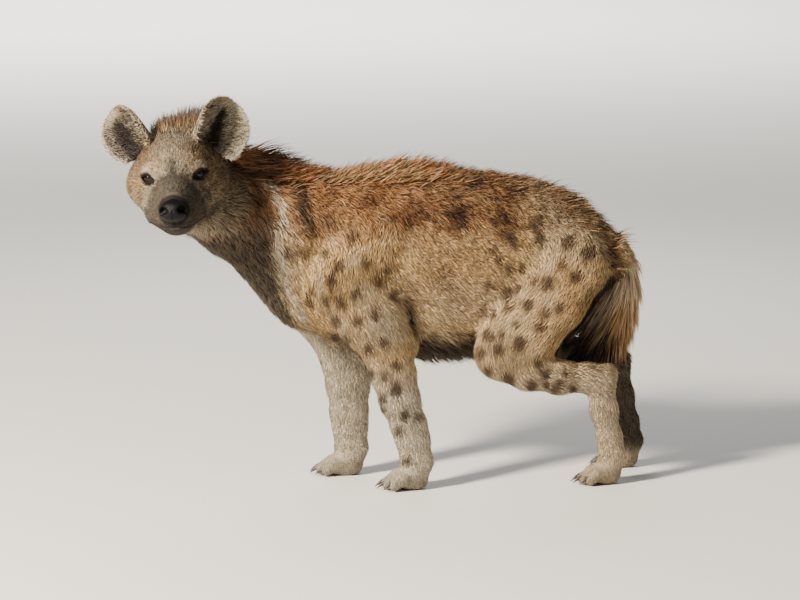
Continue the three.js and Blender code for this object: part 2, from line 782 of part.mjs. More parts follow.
const TAIL = {
  bone: [
    [466, 0, 492, 22],
    [491, 0, 474, 19],
    [500, -2, 438, 16],
    [496, -3, 396, 14],
    [480, -4, 354, 11],
    [452, -4, 322, 7],
  ],
  colour: 0x8a5f3c,
  sunk: 5,
  width: 36,
  thick: 8,
  rows: 6,
  around: 4,
};
function tailSolid() {
  const curve = new THREE.CatmullRomCurve3(TAIL.bone.map(([x, y, z]) => new THREE.Vector3(x, y, z)));
  const thickness = (t) => {
    const k = t * (TAIL.bone.length - 1);
    const i = Math.min(Math.floor(k), TAIL.bone.length - 2);
    return THREE.MathUtils.lerp(TAIL.bone[i][3], TAIL.bone[i + 1][3], k - i);
  };
  const sideways = new THREE.Vector3(0, 1, 0);
  const frameAt = (t) => {
    const p = curve.getPoint(t);
    const along = curve.getTangent(t);
    const behind = new THREE.Vector3().crossVectors(along, sideways).normalize();
    if (behind.x < 0) behind.negate();
    return { p, along, behind };
  };
  const core = [0, 1, 2, 3, 4, 5, 6, 7].map((i) => {
    const { p, behind } = frameAt(i / 7);
    const r = thickness(i / 7);
    return circle(p, sideways, behind, r, r, 8);
  });
  const draw = seeded(23);
  const down = new THREE.Vector3(0, 0, -1);
  const forwards = new THREE.Vector3(-1, 0, -0.42).normalize();
  const locks = [];
  for (let row = 0; row < TAIL.rows; row++) {
    for (let k = 0; k < TAIL.around; k++) {
      const t = 0.2 + (0.8 * (row + 0.5 * (k % 2))) / TAIL.rows;
      const { p, along, behind } = frameAt(t);
      const turned = ((k + 0.5 * (row % 2)) / TAIL.around) * 2 * Math.PI;
      const out = behind.multiplyScalar(Math.cos(turned)).addScaledVector(sideways, Math.sin(turned));
      const sweep = Math.max(0, -Math.cos(turned)) * t * t; // only the front locks sweep forward
      const start = along.addScaledVector(out, 0.38).addScaledVector(forwards, sweep * 0.7).normalize();
      const end = down.clone().addScaledVector(forwards, sweep * 2.4).normalize();
      locks.push(
        lock({
          root: p.addScaledVector(out, thickness(t) - TAIL.sunk),
          start,
          end,
          face: out,
          length: (64 + 74 * t + 26 * sweep) * draw(0.88, 1.12),
          width: TAIL.width * draw(0.85, 1.15),
          thick: TAIL.thick,
        }),
      );
    }
  }
  return wasm.Manifold.union([loft(core), ...locks]);
}
add("tail", tailSolid().subtract(torsoPart).translate([GAP * 0.8, 0, -GAP * 0.6]), TAIL.colour);

// The head's own pieces, given in the head's axes

const fromHead = (geometry) => solidOf(geometry.applyMatrix4(headMatrix));
const headPoint = (f, l, u) => new THREE.Vector3(f, l, u).applyMatrix4(headMatrix);
const headWay = (f, l, u) => new THREE.Vector3(f, l, u).transformDirection(headMatrix);

const EYE = {
  colour: 0x2a1a12,
  radius: 14,
  at: (s) => [0, s * 50.5, 0],
  outward: 20, // degrees that it looks to its side
  lid: 3.6, // how thick the lids are over the ball
  width: 32,
  height: 18,
  tilt: 6,
};

// The opening between the lids, cut forward from the middle of the eye.
function lidOpening(s) {
  const half = EYE.width / 2;
  const shape = new THREE.Shape();
  shape.moveTo(-half, 0);
  shape.quadraticCurveTo(0, EYE.height * 1.05, half, 0);
  shape.quadraticCurveTo(0, -EYE.height * 0.95, -half, 0);
  const g = new THREE.ExtrudeGeometry(shape, { depth: 50, bevelEnabled: false, curveSegments: 5 });
  g.rotateZ(THREE.MathUtils.degToRad(s * EYE.tilt)).rotateX(Math.PI / 2).rotateZ(Math.PI / 2);
  g.rotateZ(THREE.MathUtils.degToRad(s * EYE.outward)).translate(...EYE.at(s));
  return fromHead(g);
}

// The line of the mouth: a thin slit that follows the lips from one corner to the other.
const MOUTH = { front: -84, corner: -48, span: 84, steps: 12, thick: 1.5, depth: 11, centre: 12 };
function mouthSlit() {
  const rings = [];
  for (let i = -MOUTH.steps / 2; i <= MOUTH.steps / 2; i++) {
    const turned = (i / (MOUTH.steps / 2)) * MOUTH.span;
    const u = MOUTH.front + (MOUTH.corner - MOUTH.front) * Math.abs(turned / MOUTH.span) ** 2.2;
    const angle = THREE.MathUtils.degToRad(turned);
    const middle = headPoint(MOUTH.centre, 0, u);
    const out = headWay(Math.cos(angle), Math.sin(angle), 0);
    const skin = surfaceBetween(middle, middle.clone().addScaledVector(out, 140));
    const up = headWay(0, 0, 1).multiplyScalar(MOUTH.thick / 2);
    const [outer, inner] = [6, -MOUTH.depth].map((d) => skin.clone().addScaledVector(out, d));
    rings.push([outer.clone().add(up), outer.clone().sub(up), inner.clone().sub(up), inner.clone().add(up)]);
  }
  return loft(rings);
}

const NOSE_CUT = { at: headPoint(99, 0, -58).toArray(), towards: headWay(1, 0, 0.1).toArray() };
const NOSTRIL = (s) => [
  [128, s * 15, -54, 6.5],
  [108, s * 20, -54, 6],
  [106, s * 32, -63, 2.8],
];
const nosePad = onHead(melted(both((s) => [chain(NOSTRIL(s), 1, 4), 1])));
const nosed = (x, y, z) => carve(whole(x, y, z), nosePad(x, y, z), 3);
const noseMiddle = headPoint(108, 0, -58).toArray();
const noseBox = [-46, 46].map((d) => noseMiddle.map((v) => v + d));
const noseSkin = thin(skinOf(nosed, ...noseBox, NOSE_CELL), NOSE_TRIANGLES);
add("nose", parted(solidFrom(noseSkin), NOSE_CUT)[0], 0x1d1b1c, 0.45);

const inFront = [NECK_CUT, { at: NOSE_CUT.at, towards: NOSE_CUT.towards.map((v) => -v) }];
let head = solidFrom(headSkin).intersect(region(inFront, GAP / 2));
for (const s of [-1, 1]) {
  const ball = (r) => fromHead(new THREE.SphereGeometry(r, 14, 9).translate(...EYE.at(s)));
  head = head.add(ball(EYE.radius + EYE.lid)).subtract(ball(EYE.radius + GAP)).subtract(lidOpening(s));
  add(s > 0 ? "eye_left" : "eye_right", ball(EYE.radius), EYE.colour, 0.1);
}
head = head.subtract(mouthSlit());

// Ears: round cups that open forward and outward.

const EAR = {
  root: [-84, 54, 50],
  axis: [-0.1, 0.7, 0.7],
  open: 32, // degrees outward from straight ahead
  length: 112,
  width: 60,
  widest: 0.58,
  wall: 5,
  across: 7,
  up: 6,
};
// Half the width of the cup and half its arc, from v = 0 at the root to v = 1 at the tip.
function earWidth(v) {
  if (v < EAR.widest) return EAR.width * (0.5 + 0.5 * Math.sin((v / EAR.widest) * (Math.PI / 2)));
  return EAR.width * Math.sqrt(Math.max(0.03, 1 - ((v - EAR.widest) / 0.43) ** 2));
}
const earCurl = (v) => THREE.MathUtils.degToRad(THREE.MathUtils.lerp(112, 42, v ** 0.8));
function earSolid(s) {
  const axis = headWay(EAR.axis[0], s * EAR.axis[1], EAR.axis[2]);
  const turned = THREE.MathUtils.degToRad(EAR.open);
  const open = headWay(Math.cos(turned), s * Math.sin(turned), 0);
  open.addScaledVector(axis, -open.dot(axis)).normalize();
  const across = new THREE.Vector3().crossVectors(axis, open);
  const base = headPoint(EAR.root[0], s * EAR.root[1], EAR.root[2]);
  const point = (a, v, wall) => {
    const curl = earCurl(v);
    const radius = earWidth(v) / Math.sin(Math.min(curl, Math.PI / 2));
    const angle = a * curl;
    return base
      .clone()
      .addScaledVector(axis, EAR.length * v)
      .addScaledVector(open, radius - (radius + wall) * Math.cos(angle) - 8 * v * v)
      .addScaledVector(across, (radius + wall) * Math.sin(angle));
  };
  const points = [];
  const index = [0, EAR.wall].map((wall) =>
    Array.from({ length: EAR.up + 1 }, (_, j) =>
      Array.from({ length: EAR.across + 1 }, (_, i) => {
        const v = 1 - (1 - j / EAR.up) ** 1.5;
        return points.push(point((2 * i) / EAR.across - 1, v, wall * (1 - 0.45 * v)).toArray()) - 1;
      }),
    ),
  );
  const triangles = [];
  const quad = (a, b, c, d) => triangles.push([a, b, c], [a, c, d]);
  for (let j = 0; j < EAR.up; j++)
    for (let i = 0; i < EAR.across; i++) {
      const corners = index.map((g) => [g[j][i], g[j][i + 1], g[j + 1][i + 1], g[j + 1][i]]);
      quad(...corners[0]);
      quad(...corners[1].reverse());
    }
  const rim = [
    ...index[0][0].slice(0, -1).map((_, i) => [0, i]),
    ...index[0].slice(0, -1).map((_, j) => [j, EAR.across]),
    ...index[0][0].slice(0, -1).map((_, i) => [EAR.up, EAR.across - i]),
    ...index[0].slice(0, -1).map((_, j) => [EAR.up - j, 0]),
  ];
  rim.forEach(([j, i], k) => {
    const [j2, i2] = rim[(k + 1) % rim.length];
    quad(index[0][j2][i2], index[0][j][i], index[1][j][i], index[1][j2][i2]);
  });
  return { solid: solidFrom({ points, triangles }), axis };
}
for (const s of [-1, 1]) {
  const { solid, axis } = earSolid(s);
  const away = axis.multiplyScalar(GAP * 1.2).toArray();
  const grown = head.translate(away);
  add(s > 0 ? "ear_left" : "ear_right", solid.subtract(head).subtract(grown));
}

// A few short locks stand on the crown between the ears.
const CROWN = {
  rows: [
    { forward: -70, across: [-24, 0, 24] },
    { forward: -92, across: [-33, -11, 11, 33] },
    { forward: -114, across: [-20, 6, 28] },
  ],
  width: 30,
  thick: 6,
};
const crown = [];
const drawCrown = seeded(5);
for (const [f, l] of CROWN.rows.flatMap((r) => r.across.map((l) => [r.forward, l]))) {
  const skin = surfaceBetween(headPoint(f, l, 20), headPoint(f, l, 160));
  const out = new THREE.Vector3(...slope(whole, skin.toArray(), 5)).normalize();
  const back = headWay(-1, 0, 0.2);
  crown.push(
    lock({
      root: skin.clone().addScaledVector(out, -10),
      start: out.clone().addScaledVector(back, 0.5).normalize(),
      end: out.clone().multiplyScalar(0.5).add(back).normalize(),
      face: headWay(0.8, drawCrown(-0.6, 0.6), 0.6),
      length: drawCrown(44, 56),
      width: CROWN.width * drawCrown(0.85, 1.15),
      thick: CROWN.thick,
    }),
  );
}
const ahead = region([NECK_CUT], GAP / 2);
add("head", head.add(wasm.Manifold.union(crown).intersect(ahead)));

const box = new THREE.Box3().setFromObject(root);
const middle = box.getCenter(new THREE.Vector3());
root.position.set(-middle.x, -middle.y, 0);

export default root;
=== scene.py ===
# %% [markdown]
# # A spotted hyena in its coat
# The frame gives the animal's solids at their real size. This scene dresses them: one skin under the whole
# coat, tens of thousands of small tufts that follow the lie of the hair, a standing mane, a tail brush,
# wet eyes, a bare nose and horn claws. The measures below are in millimetres, as a taxidermist would note
# them, and become metres only when a mesh is made.

# %% Load the frame
import math

import bmesh
import bpy
import numpy as np
from mathutils import Matrix, Vector
from mathutils.kdtree import KDTree


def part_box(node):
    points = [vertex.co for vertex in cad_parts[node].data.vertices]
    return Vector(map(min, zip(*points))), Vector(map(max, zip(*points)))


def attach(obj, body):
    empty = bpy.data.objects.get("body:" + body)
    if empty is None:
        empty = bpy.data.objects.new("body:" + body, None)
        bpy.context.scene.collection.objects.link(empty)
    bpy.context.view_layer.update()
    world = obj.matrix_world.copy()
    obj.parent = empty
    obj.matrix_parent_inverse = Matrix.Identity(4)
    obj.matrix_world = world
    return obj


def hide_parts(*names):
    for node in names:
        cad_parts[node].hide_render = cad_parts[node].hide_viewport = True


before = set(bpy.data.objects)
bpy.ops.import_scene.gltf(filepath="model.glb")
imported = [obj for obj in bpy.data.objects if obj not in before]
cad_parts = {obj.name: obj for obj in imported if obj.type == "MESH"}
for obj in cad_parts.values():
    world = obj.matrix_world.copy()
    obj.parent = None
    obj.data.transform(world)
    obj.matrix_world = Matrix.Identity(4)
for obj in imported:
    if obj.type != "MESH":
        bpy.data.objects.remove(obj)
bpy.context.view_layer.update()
MM = 0.001
eye_boxes = [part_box("eye_left"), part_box("eye_right")]
EYES_MIDDLE = sum((low + high for low, high in eye_boxes), Vector()) / 4 / MM
HEAD_AT = np.array([-496.0, -165.0, 694.0])
SHIFT = np.array(EYES_MIDDLE) - HEAD_AT

# %% [markdown]
# ## The photo's view
# The photo was taken from the animal's left, eight degrees round towards its front and a little from above.
# The camera's own axes come first, because the spots are placed by where they show in the photo.

# %% View axes
SWING, CLIMB = math.radians(8), math.radians(9)
ALONG, ASIDE, LEVEL, RISE = math.cos(SWING), math.sin(SWING), math.cos(CLIMB), math.sin(CLIMB)
# Right, up and back towards the camera, to four places.
RIGHT, UP, BACK = [tuple(round(part, 4) for part in way) for way in (
    (ALONG, -ASIDE, 0.0), (RISE * ASIDE, RISE * ALONG, LEVEL), (-LEVEL * ASIDE, -LEVEL * ALONG, RISE))]
AIM_HEIGHT = 396.0
CAMERA_FAR = 8000.0
FOCAL_PIXELS = 3721
WIDE, TALL = 800, 600


def on_photo(p):
    """Where points show in the photo, in its pixels across and down."""
    q = p - (0, 0, AIM_HEIGHT)
    scale = FOCAL_PIXELS / (CAMERA_FAR - q @ np.array(BACK))
    return WIDE / 2 + q @ np.array(RIGHT) * scale, TALL / 2 - q @ np.array(UP) * scale


print("the eyes show at", [round(float(v)) for v in on_photo(HEAD_AT)])

# %% [markdown]
# ## Helpers
# Blender works in linear light, so a colour given as an sRGB hex value is turned to linear by one
# function. One more function adds a node with its settings and its inputs, for shaders and Geometry Nodes.
# Soft rises, falls and humps say how a marking or the coat's depth goes over from one place to the next.

# %% Colour, node and shape helpers
def colour(code):
    """The linear colour of an sRGB hex value."""
    parts = [int(code[i:i + 2], 16) / 255 for i in (1, 3, 5)]
    return tuple(c / 12.92 if c <= 0.04045 else ((c + 0.055) / 1.055) ** 2.4 for c in parts) + (1.0,)


def give(tree, made, inputs):
    """Gives a node's inputs their values, or links them."""
    for key, value in inputs.items():
        if isinstance(value, bpy.types.NodeSocket):
            tree.links.new(value, made.inputs[key])
        else:
            made.inputs[key].default_value = value


def node(tree, kind, inputs=None, **settings):
    """Adds a node, sets its properties, and gives its inputs values or links."""
    made = tree.nodes.new(kind)
    for name, value in settings.items():
        setattr(made, name, value)
    give(tree, made, inputs or {})
    return made


def in_scene(name, data):
    """A new object in the scene."""
    made = bpy.data.objects.new(name, data)
    bpy.context.scene.collection.objects.link(made)
    return made


def smooth(value, start, end):
    """Rises softly from 0 at start to 1 at end."""
    t = np.clip((value - start) / (end - start), 0, 1)
    return t * t * (3 - 2 * t)


def fade(value, start, end):
    """Falls softly from 1 at start to 0 at end."""
    return 1 - smooth(value, start, end)


def hump(value, middle, reach):
    """1 at the middle, and almost 0 at twice the reach from it."""
    return np.exp(-((value - middle) / reach) ** 2)


def unit(vectors):
    return vectors / np.maximum(np.linalg.norm(vectors, axis=-1, keepdims=True), 1e-9)


# %% [markdown]
# ## The body as a field
# A field is a function of a point that is negative inside the body and positive outside. Joints with
# radii, joined in rows, give the trunk and the legs, and eggs give the rounder masses. Two forms melt into
# each other with a fillet, which meshes joined by hand wouldn't do. The same rows made the solids, so the
# skin lies just under their surface.

# %% Fields
def melt(a, b, blend):
    h = np.maximum(blend - np.abs(a - b), 0) / blend
    return np.minimum(a, b) - h * h * blend / 4


def chain(joints, narrow=1.0, blend=14.0):
    """A row of joints [x, y, z, radius], filled out between each two and squeezed sideways by narrow."""
    j = np.array(joints, float)
    squeeze = np.array([1, narrow, 1])

    def field(p):
        q = p * squeeze
        least = None
        for a, b in zip(j[:-1], j[1:]):
            start, e = a[:3] * squeeze, (b[:3] - a[:3]) * squeeze
            t = np.clip((q - start) @ e / (e @ e), 0, 1)
            d = np.linalg.norm(q - start - t[:, None] * e, axis=1) - a[3] - t * (b[3] - a[3])
            least = d if least is None else melt(least, d, blend)
        return least

    return field


def egg(centre, radii, turn=0.0):
    """An egg with three radii, tipped by degrees about Y."""
    c, s = math.cos(math.radians(turn)), math.sin(math.radians(turn))
    turned = np.array([[c, 0, s], [0, 1, 0], [-s, 0, c]])

    def field(p):
        q = (p - centre) @ turned / radii
        far = np.linalg.norm(q, axis=1)
        return far * (far - 1) / np.maximum(np.linalg.norm(q / radii, axis=1), 1e-9)

    return field


def melted(forms):
    def field(p):
        d = forms[0][0](p)
        for form, blend in forms[1:]:
            d = melt(d, form(p), blend)
        return d

    return field


def nearby(form, low, high, reach=60.0):
    """Leaves a form out where it is further off than reach from its own box."""
    low, high = np.array(low, float), np.array(high, float)

    def field(p):
        far = np.linalg.norm(np.maximum(np.maximum(low - p, p - high), 0), axis=1)
        d = far.copy()
        close = far <= reach
        if close.any():
            d[close] = form(p[close])
        return d

    return field


# %% Trunk, neck and tail, from the same rows as the solids
TRUNK_ROW = [
    [-185, 0, 500, 148], [-110, 0, 486, 176], [-20, 0, 478, 186], [80, 0, 476, 192],
    [180, 0, 478, 188], [270, 0, 482, 170], [325, 0, 478, 138], [400, 0, 464, 90],
]
NECK_ROW = [
    [-150, 0, 505, 148], [-235, -3, 541, 119], [-300, -8, 566, 104],
    [-365, -18, 602, 95], [-430, -36, 645, 88], [-462, -52, 672, 84],
]
TAIL_ROW = [
    [440, 0, 492, 24], [466, 0, 492, 21], [491, 0, 474, 17], [500, -2, 438, 13],
    [496, -3, 396, 11], [480, -4, 354, 8], [452, -4, 322, 5],
]
TORSO = melted([
    (chain(TRUNK_ROW, 1.62, 24), 0),
    (chain(NECK_ROW, 1.3, 30), 60),
    (egg((-225, 0, 425), (52, 76, 72)), 50),
    (egg((-30, 0, 616), (110, 44, 46)), 40),
    (egg((448, 0, 480), (46, 38, 32)), 40),
])

# %% Legs
LEGS = {
    "foreleg_left": {
        "narrow": 1.3,
        "upper": [[-52, -80, 545, 58], [-130, -98, 455, 74], [-75, -98, 375, 76], [-42, -92, 320, 60]],
        "lower": [
            [-42, -92, 320, 60], [-28, -90, 258, 51], [-13, -89, 195, 44], [6, -88, 140, 39],
            [16, -88, 105, 37], [24, -88, 60, 34], [20, -88, 32, 30],
        ],
        "point": [2, -88, 312, 28],
        "paw": {"name": "forepaw_left", "at": (8, -88), "turn": 4, "scale": 1.0},
    },
    "foreleg_right": {
        "narrow": 1.3,
        "upper": [[-62, 80, 545, 58], [-172, 96, 448, 74], [-160, 95, 376, 78], [-130, 92, 325, 64]],
        "lower": [
            [-130, 92, 325, 64], [-110, 90, 262, 54], [-102, 88, 200, 48], [-100, 86, 140, 42],
            [-98, 86, 105, 39], [-95, 85, 60, 35], [-99, 85, 32, 31],
        ],
        "point": [-78, 88, 318, 28],
        "paw": {"name": "forepaw_right", "at": (-112, 85), "turn": -6, "scale": 1.0},
    },
    "hindleg_left": {
        "narrow": 1.35,
        "upper": [[354, -66, 468, 94], [316, -84, 408, 80], [256, -94, 345, 82], [208, -98, 300, 66]],
        "lower": [
            [212, -98, 296, 60], [262, -98, 258, 48], [330, -96, 238, 39], [392, -94, 234, 34],
            [420, -93, 226, 34], [430, -92, 160, 30], [443, -91, 100, 28], [449, -90, 60, 29],
            [442, -90, 32, 28],
        ],
        "point": [438, -92, 247, 18],
        "paw": {"name": "hindpaw_left", "at": (430, -90), "turn": 5, "scale": 0.93},
    },
    "hindleg_right": {
        "narrow": 1.35,
        "upper": [[364, 66, 468, 94], [358, 84, 410, 80], [322, 94, 350, 78], [292, 96, 312, 62]],
        "lower": [
            [294, 96, 308, 60], [345, 94, 276, 48], [410, 90, 252, 39], [466, 87, 238, 34],
            [488, 86, 226, 34], [502, 85, 160, 30], [516, 84, 100, 28], [522, 84, 60, 29],
            [516, 84, 32, 28],
        ],
        "point": [506, 86, 247, 18],
        "paw": {"name": "hindpaw_right", "at": (504, 84), "turn": -5, "scale": 0.93},
    },
}
TOES = [(38, -25), (49, -9), (49, 9), (38, 25)]  # how far each reaches forward and to the side


def paw_place(paw, forward, side, z):
    angle = math.radians(180 + paw["turn"])
    c, s = math.cos(angle) * paw["scale"], math.sin(angle) * paw["scale"]
    x, y = paw["at"]
    return [x + forward * c - side * s, y + forward * s + side * c, z * paw["scale"]]


def leg_form(leg):
    x, y, z, size = leg["point"]
    joints = np.array(leg["upper"] + leg["lower"], float)
    low = (joints[:, :3] - joints[:, 3:]).min(0)
    high = (joints[:, :3] + joints[:, 3:]).max(0)
    form = melted([
        (chain(leg["upper"], leg["narrow"], 30), 0),
        (chain(leg["lower"], 1.18, 16), 26),
        (egg((x, y, z), (size * 1.1, size * 0.85, size)), 18),
    ])
    return nearby(form, low, high)


def paw_form(paw):
    k = paw["scale"]
    toes = []
    for reach, spread in TOES:
        row = [
            paw_place(paw, -8, spread * 0.7, 34) + [18 * k],
            paw_place(paw, reach * 0.55, spread, 26) + [15 * k],
            paw_place(paw, reach, spread * 1.1, 14) + [13 * k],
        ]
        toes.append((chain(row, 1, 6), 4))
    pad = egg(paw_place(paw, -2, 0, 17), (36 * k, 30 * k, 22 * k))
    x, y = paw["at"]
    return nearby(melted(toes + [(pad, 14)]), (x - 70, y - 50, 0), (x + 50, y + 50, 60), 30)


LEG_FORMS = [leg_form(leg) for leg in LEGS.values()]
PAW_FORMS = [paw_form(leg["paw"]) for leg in LEGS.values()]

# %% [markdown]
# ## The head's own axes
# The head is turned to the animal's left and tipped a little, so its forms are given along its own axes:
# forward to the nose, left to its left eye, and up, from midway between the eyes.

# %% Head
FORWARD = unit(np.array([-0.16, -0.986, -0.035]))
ROLL = math.radians(5.2)
level_up = unit(np.array([0, 0, 1]) - FORWARD * FORWARD[2])
HEAD_UP = level_up * math.cos(ROLL) + np.cross(FORWARD, level_up) * math.sin(ROLL)
HEAD_LEFT = np.cross(HEAD_UP, FORWARD)
HEAD_AXES = np.array([FORWARD, HEAD_LEFT, HEAD_UP])


def to_head(p):
    return (p - HEAD_AT) @ HEAD_AXES.T


def from_head(p):
    return np.asarray(p, float) @ HEAD_AXES + HEAD_AT


SIDES = (-1, 1)  # the right of the head and the left
NOSE_AT = (98, 0, -58)
HEAD_FORMS = [
    (egg((-76, 0, 18), (92, 80, 72)), 0),
    (egg((-30, 0, 18), (60, 68, 44)), 30),
    *[(egg((-54, s * 60, -22), (58, 50, 52)), 34) for s in SIDES],
    (chain([[0, 0, -34, 54], [34, 0, -48, 49], [60, 0, -58, 40]], 1, 20), 30),
    (chain([[-10, 0, 6, 22], [46, 0, -18, 21], [78, 0, -36, 17]], 0.85, 16), 18),
    *[(chain([[12, s * 54, -54, 21], [46, s * 41, -68, 21], [72, s * 24, -76, 19]], 1, 12), 16)
      for s in SIDES],
    (chain([[-70, 0, -80, 42], [6, 0, -86, 35], [50, 0, -88, 27], [72, 0, -88, 18]], 0.88, 16), 20),
    *[(egg((-62, s * 42, -62), (54, 37, 40)), 26) for s in SIDES],
    *[(egg((-4, s * 46, 19), (24, 25, 12), 18), 14) for s in SIDES],
    (egg(NOSE_AT, (24, 31, 24)), 5),
]
HEAD_REACH = 210
head_of = melted(HEAD_FORMS)
HEAD_FORM = nearby(lambda p: head_of(to_head(p)), HEAD_AT - HEAD_REACH, HEAD_AT + HEAD_REACH)
TAIL_FORM = nearby(chain(TAIL_ROW, 1, 10), (420, -30, 310), (520, 30, 520))
WHOLE = melted([
    (TORSO, 0), *[(form, 34) for form in LEG_FORMS], (HEAD_FORM, 46),
    *[(form, 14) for form in PAW_FORMS], (TAIL_FORM, 22),
])
print("field inside the trunk and over it", WHOLE(np.array([[0.0, 0, 478], [0, 0, 900]])).round(1))

# %% [markdown]
# ## Coat depth
# The solids reach the outer line of the coat. The skin lies inside them by the depth of the hair: about a
# centimetre on the trunk and neck, a few millimetres on the legs, and almost nothing on the muzzle.

# %% How deep the coat is
def head_share(p):
    """1 on the head, 0 on the body."""
    far = np.linalg.norm(p - HEAD_AT, axis=1)
    return smooth(to_head(p)[:, 0], -140, -90) * fade(far, 165, 200)


def coat_depth(p):
    forward = to_head(p)[:, 0]
    head = head_share(p)
    depth = 10 - 6 * fade(p[:, 2], 220, 330) - 2 * fade(p[:, 2], 50, 90)
    on_head = 5 - 3.4 * smooth(forward, -30, 40)
    tail = smooth(p[:, 0], 458, 480) * smooth(p[:, 2], 290, 330) * (np.abs(p[:, 1]) < 32)
    depth = depth * (1 - head) + on_head * head
    return depth * (1 - tail) + 1.0 * tail


EYE_RADIUS = 14.0
EYE_AT = {s: np.array([0, s * 50.5, 0.0]) for s in SIDES}
EYE_OUTWARD = math.radians(20)
MOUTH_FRONT, MOUTH_CORNER = -94.0, -58.0


def gaze(s):
    """Where an eye looks, in the head's axes."""
    return np.array([math.cos(EYE_OUTWARD), s * math.sin(EYE_OUTWARD), 0.0])


def nose_plane(q):
    """Positive in front of the back of the bare nose."""
    return q[:, 0] - 99.4 + 0.1 * (q[:, 2] + 58)


def skin_field(p):
    return np.maximum(WHOLE(p) + coat_depth(p), nose_plane(to_head(p)) - 2)


# %% [markdown]
# ## From field to skin
# A grid of cells is laid over the field. Each cell that the surface crosses gets one corner point, and
# each grid edge that it crosses joins the four points round it into a face. The points are then moved
# along the field's slope until they lie on it, and the head and paws are split finer.

# %% Surface net
def surface_net(field, low, high, cell):
    """Points and four-cornered faces where the field is zero."""
    step = 4
    n = [int(math.ceil((b - a) / cell / step)) * step + 1 for a, b in zip(low, high)]
    axes = [a + cell * np.arange(k) for a, k in zip(low, n)]
    coarse_axes = [a[::step] for a in axes]
    points = np.stack(np.meshgrid(*coarse_axes, indexing="ij"), -1).reshape(-1, 3)
    coarse = field(points).reshape([len(a) for a in coarse_axes])
    pick = [np.rint(np.arange(k) / step).astype(int) for k in n]
    values = coarse[np.ix_(*pick)]
    close = np.argwhere(np.abs(values) < 6.0 * cell)
    at = np.array(low) + close * cell
    values[tuple(close.T)] = field(at)
    inside = values < 0
    cells = np.zeros([k - 1 for k in n], int)
    corners = [(i, j, k) for i in (0, 1) for j in (0, 1) for k in (0, 1)]
    for i, j, k in corners:
        cells += inside[i:i + n[0] - 1, j:j + n[1] - 1, k:k + n[2] - 1]
    active = np.argwhere((cells > 0) & (cells < 8))
    number = -np.ones(cells.shape, int)
    number[tuple(active.T)] = np.arange(len(active))
    total, count = np.zeros((len(active), 3)), np.zeros(len(active))
    for a in corners:
        for b in corners:
            if sum(b) - sum(a) != 1 or any(q < p for p, q in zip(a, b)):
                continue
            va, vb = values[tuple((active + a).T)], values[tuple((active + b).T)]
            cross = (va < 0) != (vb < 0)
            t = np.where(cross, va / np.where(cross, va - vb, 1), 0)[:, None]
            total += np.where(cross[:, None], np.array(a) + t * (np.array(b) - a), 0)
            count += cross
    verts = np.array(low) + (active + total / count[:, None]) * cell
    faces = []
    for axis in range(3):
        one = np.eye(3, dtype=int)[axis]
        u, v = np.eye(3, dtype=int)[(axis + 1) % 3], np.eye(3, dtype=int)[(axis + 2) % 3]
        ahead = inside[tuple(slice(o, None) for o in one)]
        here = inside[tuple(slice(0, s) for s in ahead.shape)]
        for flip, found in ((False, here & ~ahead), (True, ~here & ahead)):
            g = np.argwhere(found)
            g = g[(g[:, (axis + 1) % 3] > 0) & (g[:, (axis + 2) % 3] > 0)]
            ring = [g - u - v, g - v, g, g - u]
            quad = np.stack([number[tuple(r.T)] for r in ring], 1)
            faces.append(quad[:, ::-1] if flip else quad)
    return verts, np.concatenate(faces)


def slope(field, p, h=0.5):
    return np.stack([(field(p + d) - field(p - d)) / (2 * h) for d in np.eye(3) * h], 1)


def settle(field, p, rounds=3, most=3.0):
    """Moves points onto the field's zero."""
    for _ in range(rounds):
        g = slope(field, p)
        move = field(p)[:, None] * g / np.maximum((g * g).sum(1, keepdims=True), 0.05)
        size = np.linalg.norm(move, axis=1, keepdims=True)
        p = p - move * np.minimum(1, most / np.maximum(size, 1e-9))
    return p


BODY_CELL = 7.0
NET_LOW, NET_HIGH = (-700, -300, -13), (560, 230, 800)
net_points, net_faces = surface_net(skin_field, NET_LOW, NET_HIGH, BODY_CELL)
net_points = settle(skin_field, net_points)
print("skin net", len(net_points), "points", len(net_faces), "faces")

# %% [markdown]
# ## The fine parts of the face
# The head needs a finer mesh than the flank. Its faces are split twice, and the points are settled on a
# field that also has the lids, the line of the mouth and the folds of the brow and cheeks.

# %% Face field
LID_OUTER, LID_INNER, LID_HEIGHT, LID_TILT = 15.0, 19.0, 8.8, math.radians(15)
LID_THICK, SOCKET = 3.0, 12.4
FACE_MIDDLE, FACE_REACH = (40, 0, -40), 150


def eye_axes(s):
    """Across an eye to its outer corner, up, and ahead along its gaze, tilted as its lids are."""
    g = gaze(s)
    across, up = np.array([-g[1], g[0], 0]) * s, np.array([0, 0, 1.0])
    c, d = math.cos(LID_TILT), math.sin(LID_TILT)
    return across * c + up * d, up * c - across * d, g


def eye_plane(q, s):
    """Across, up and ahead of an eye, for points in the head's axes."""
    return [(q - EYE_AT[s]) @ axis for axis in eye_axes(s)]


def opening(a, b, margin=0.0):
    """How far a point is outside the almond between the lids, which runs out thin at the inner corner."""
    reach = np.where(a > 0, LID_OUTER, LID_INNER) + margin
    edge = (LID_HEIGHT + margin) * np.maximum(0, 1 - (a / reach) ** 2)
    return np.maximum(np.abs(b) - edge, np.abs(a) - reach)


def lid_field(p):
    """The skin with the bulge of the lids, not yet opened."""
    d = skin_field(p)
    q = to_head(p)
    for s in SIDES:
        d = melt(d, np.linalg.norm(q - EYE_AT[s], axis=1) - EYE_RADIUS - LID_THICK, 6)
    return d


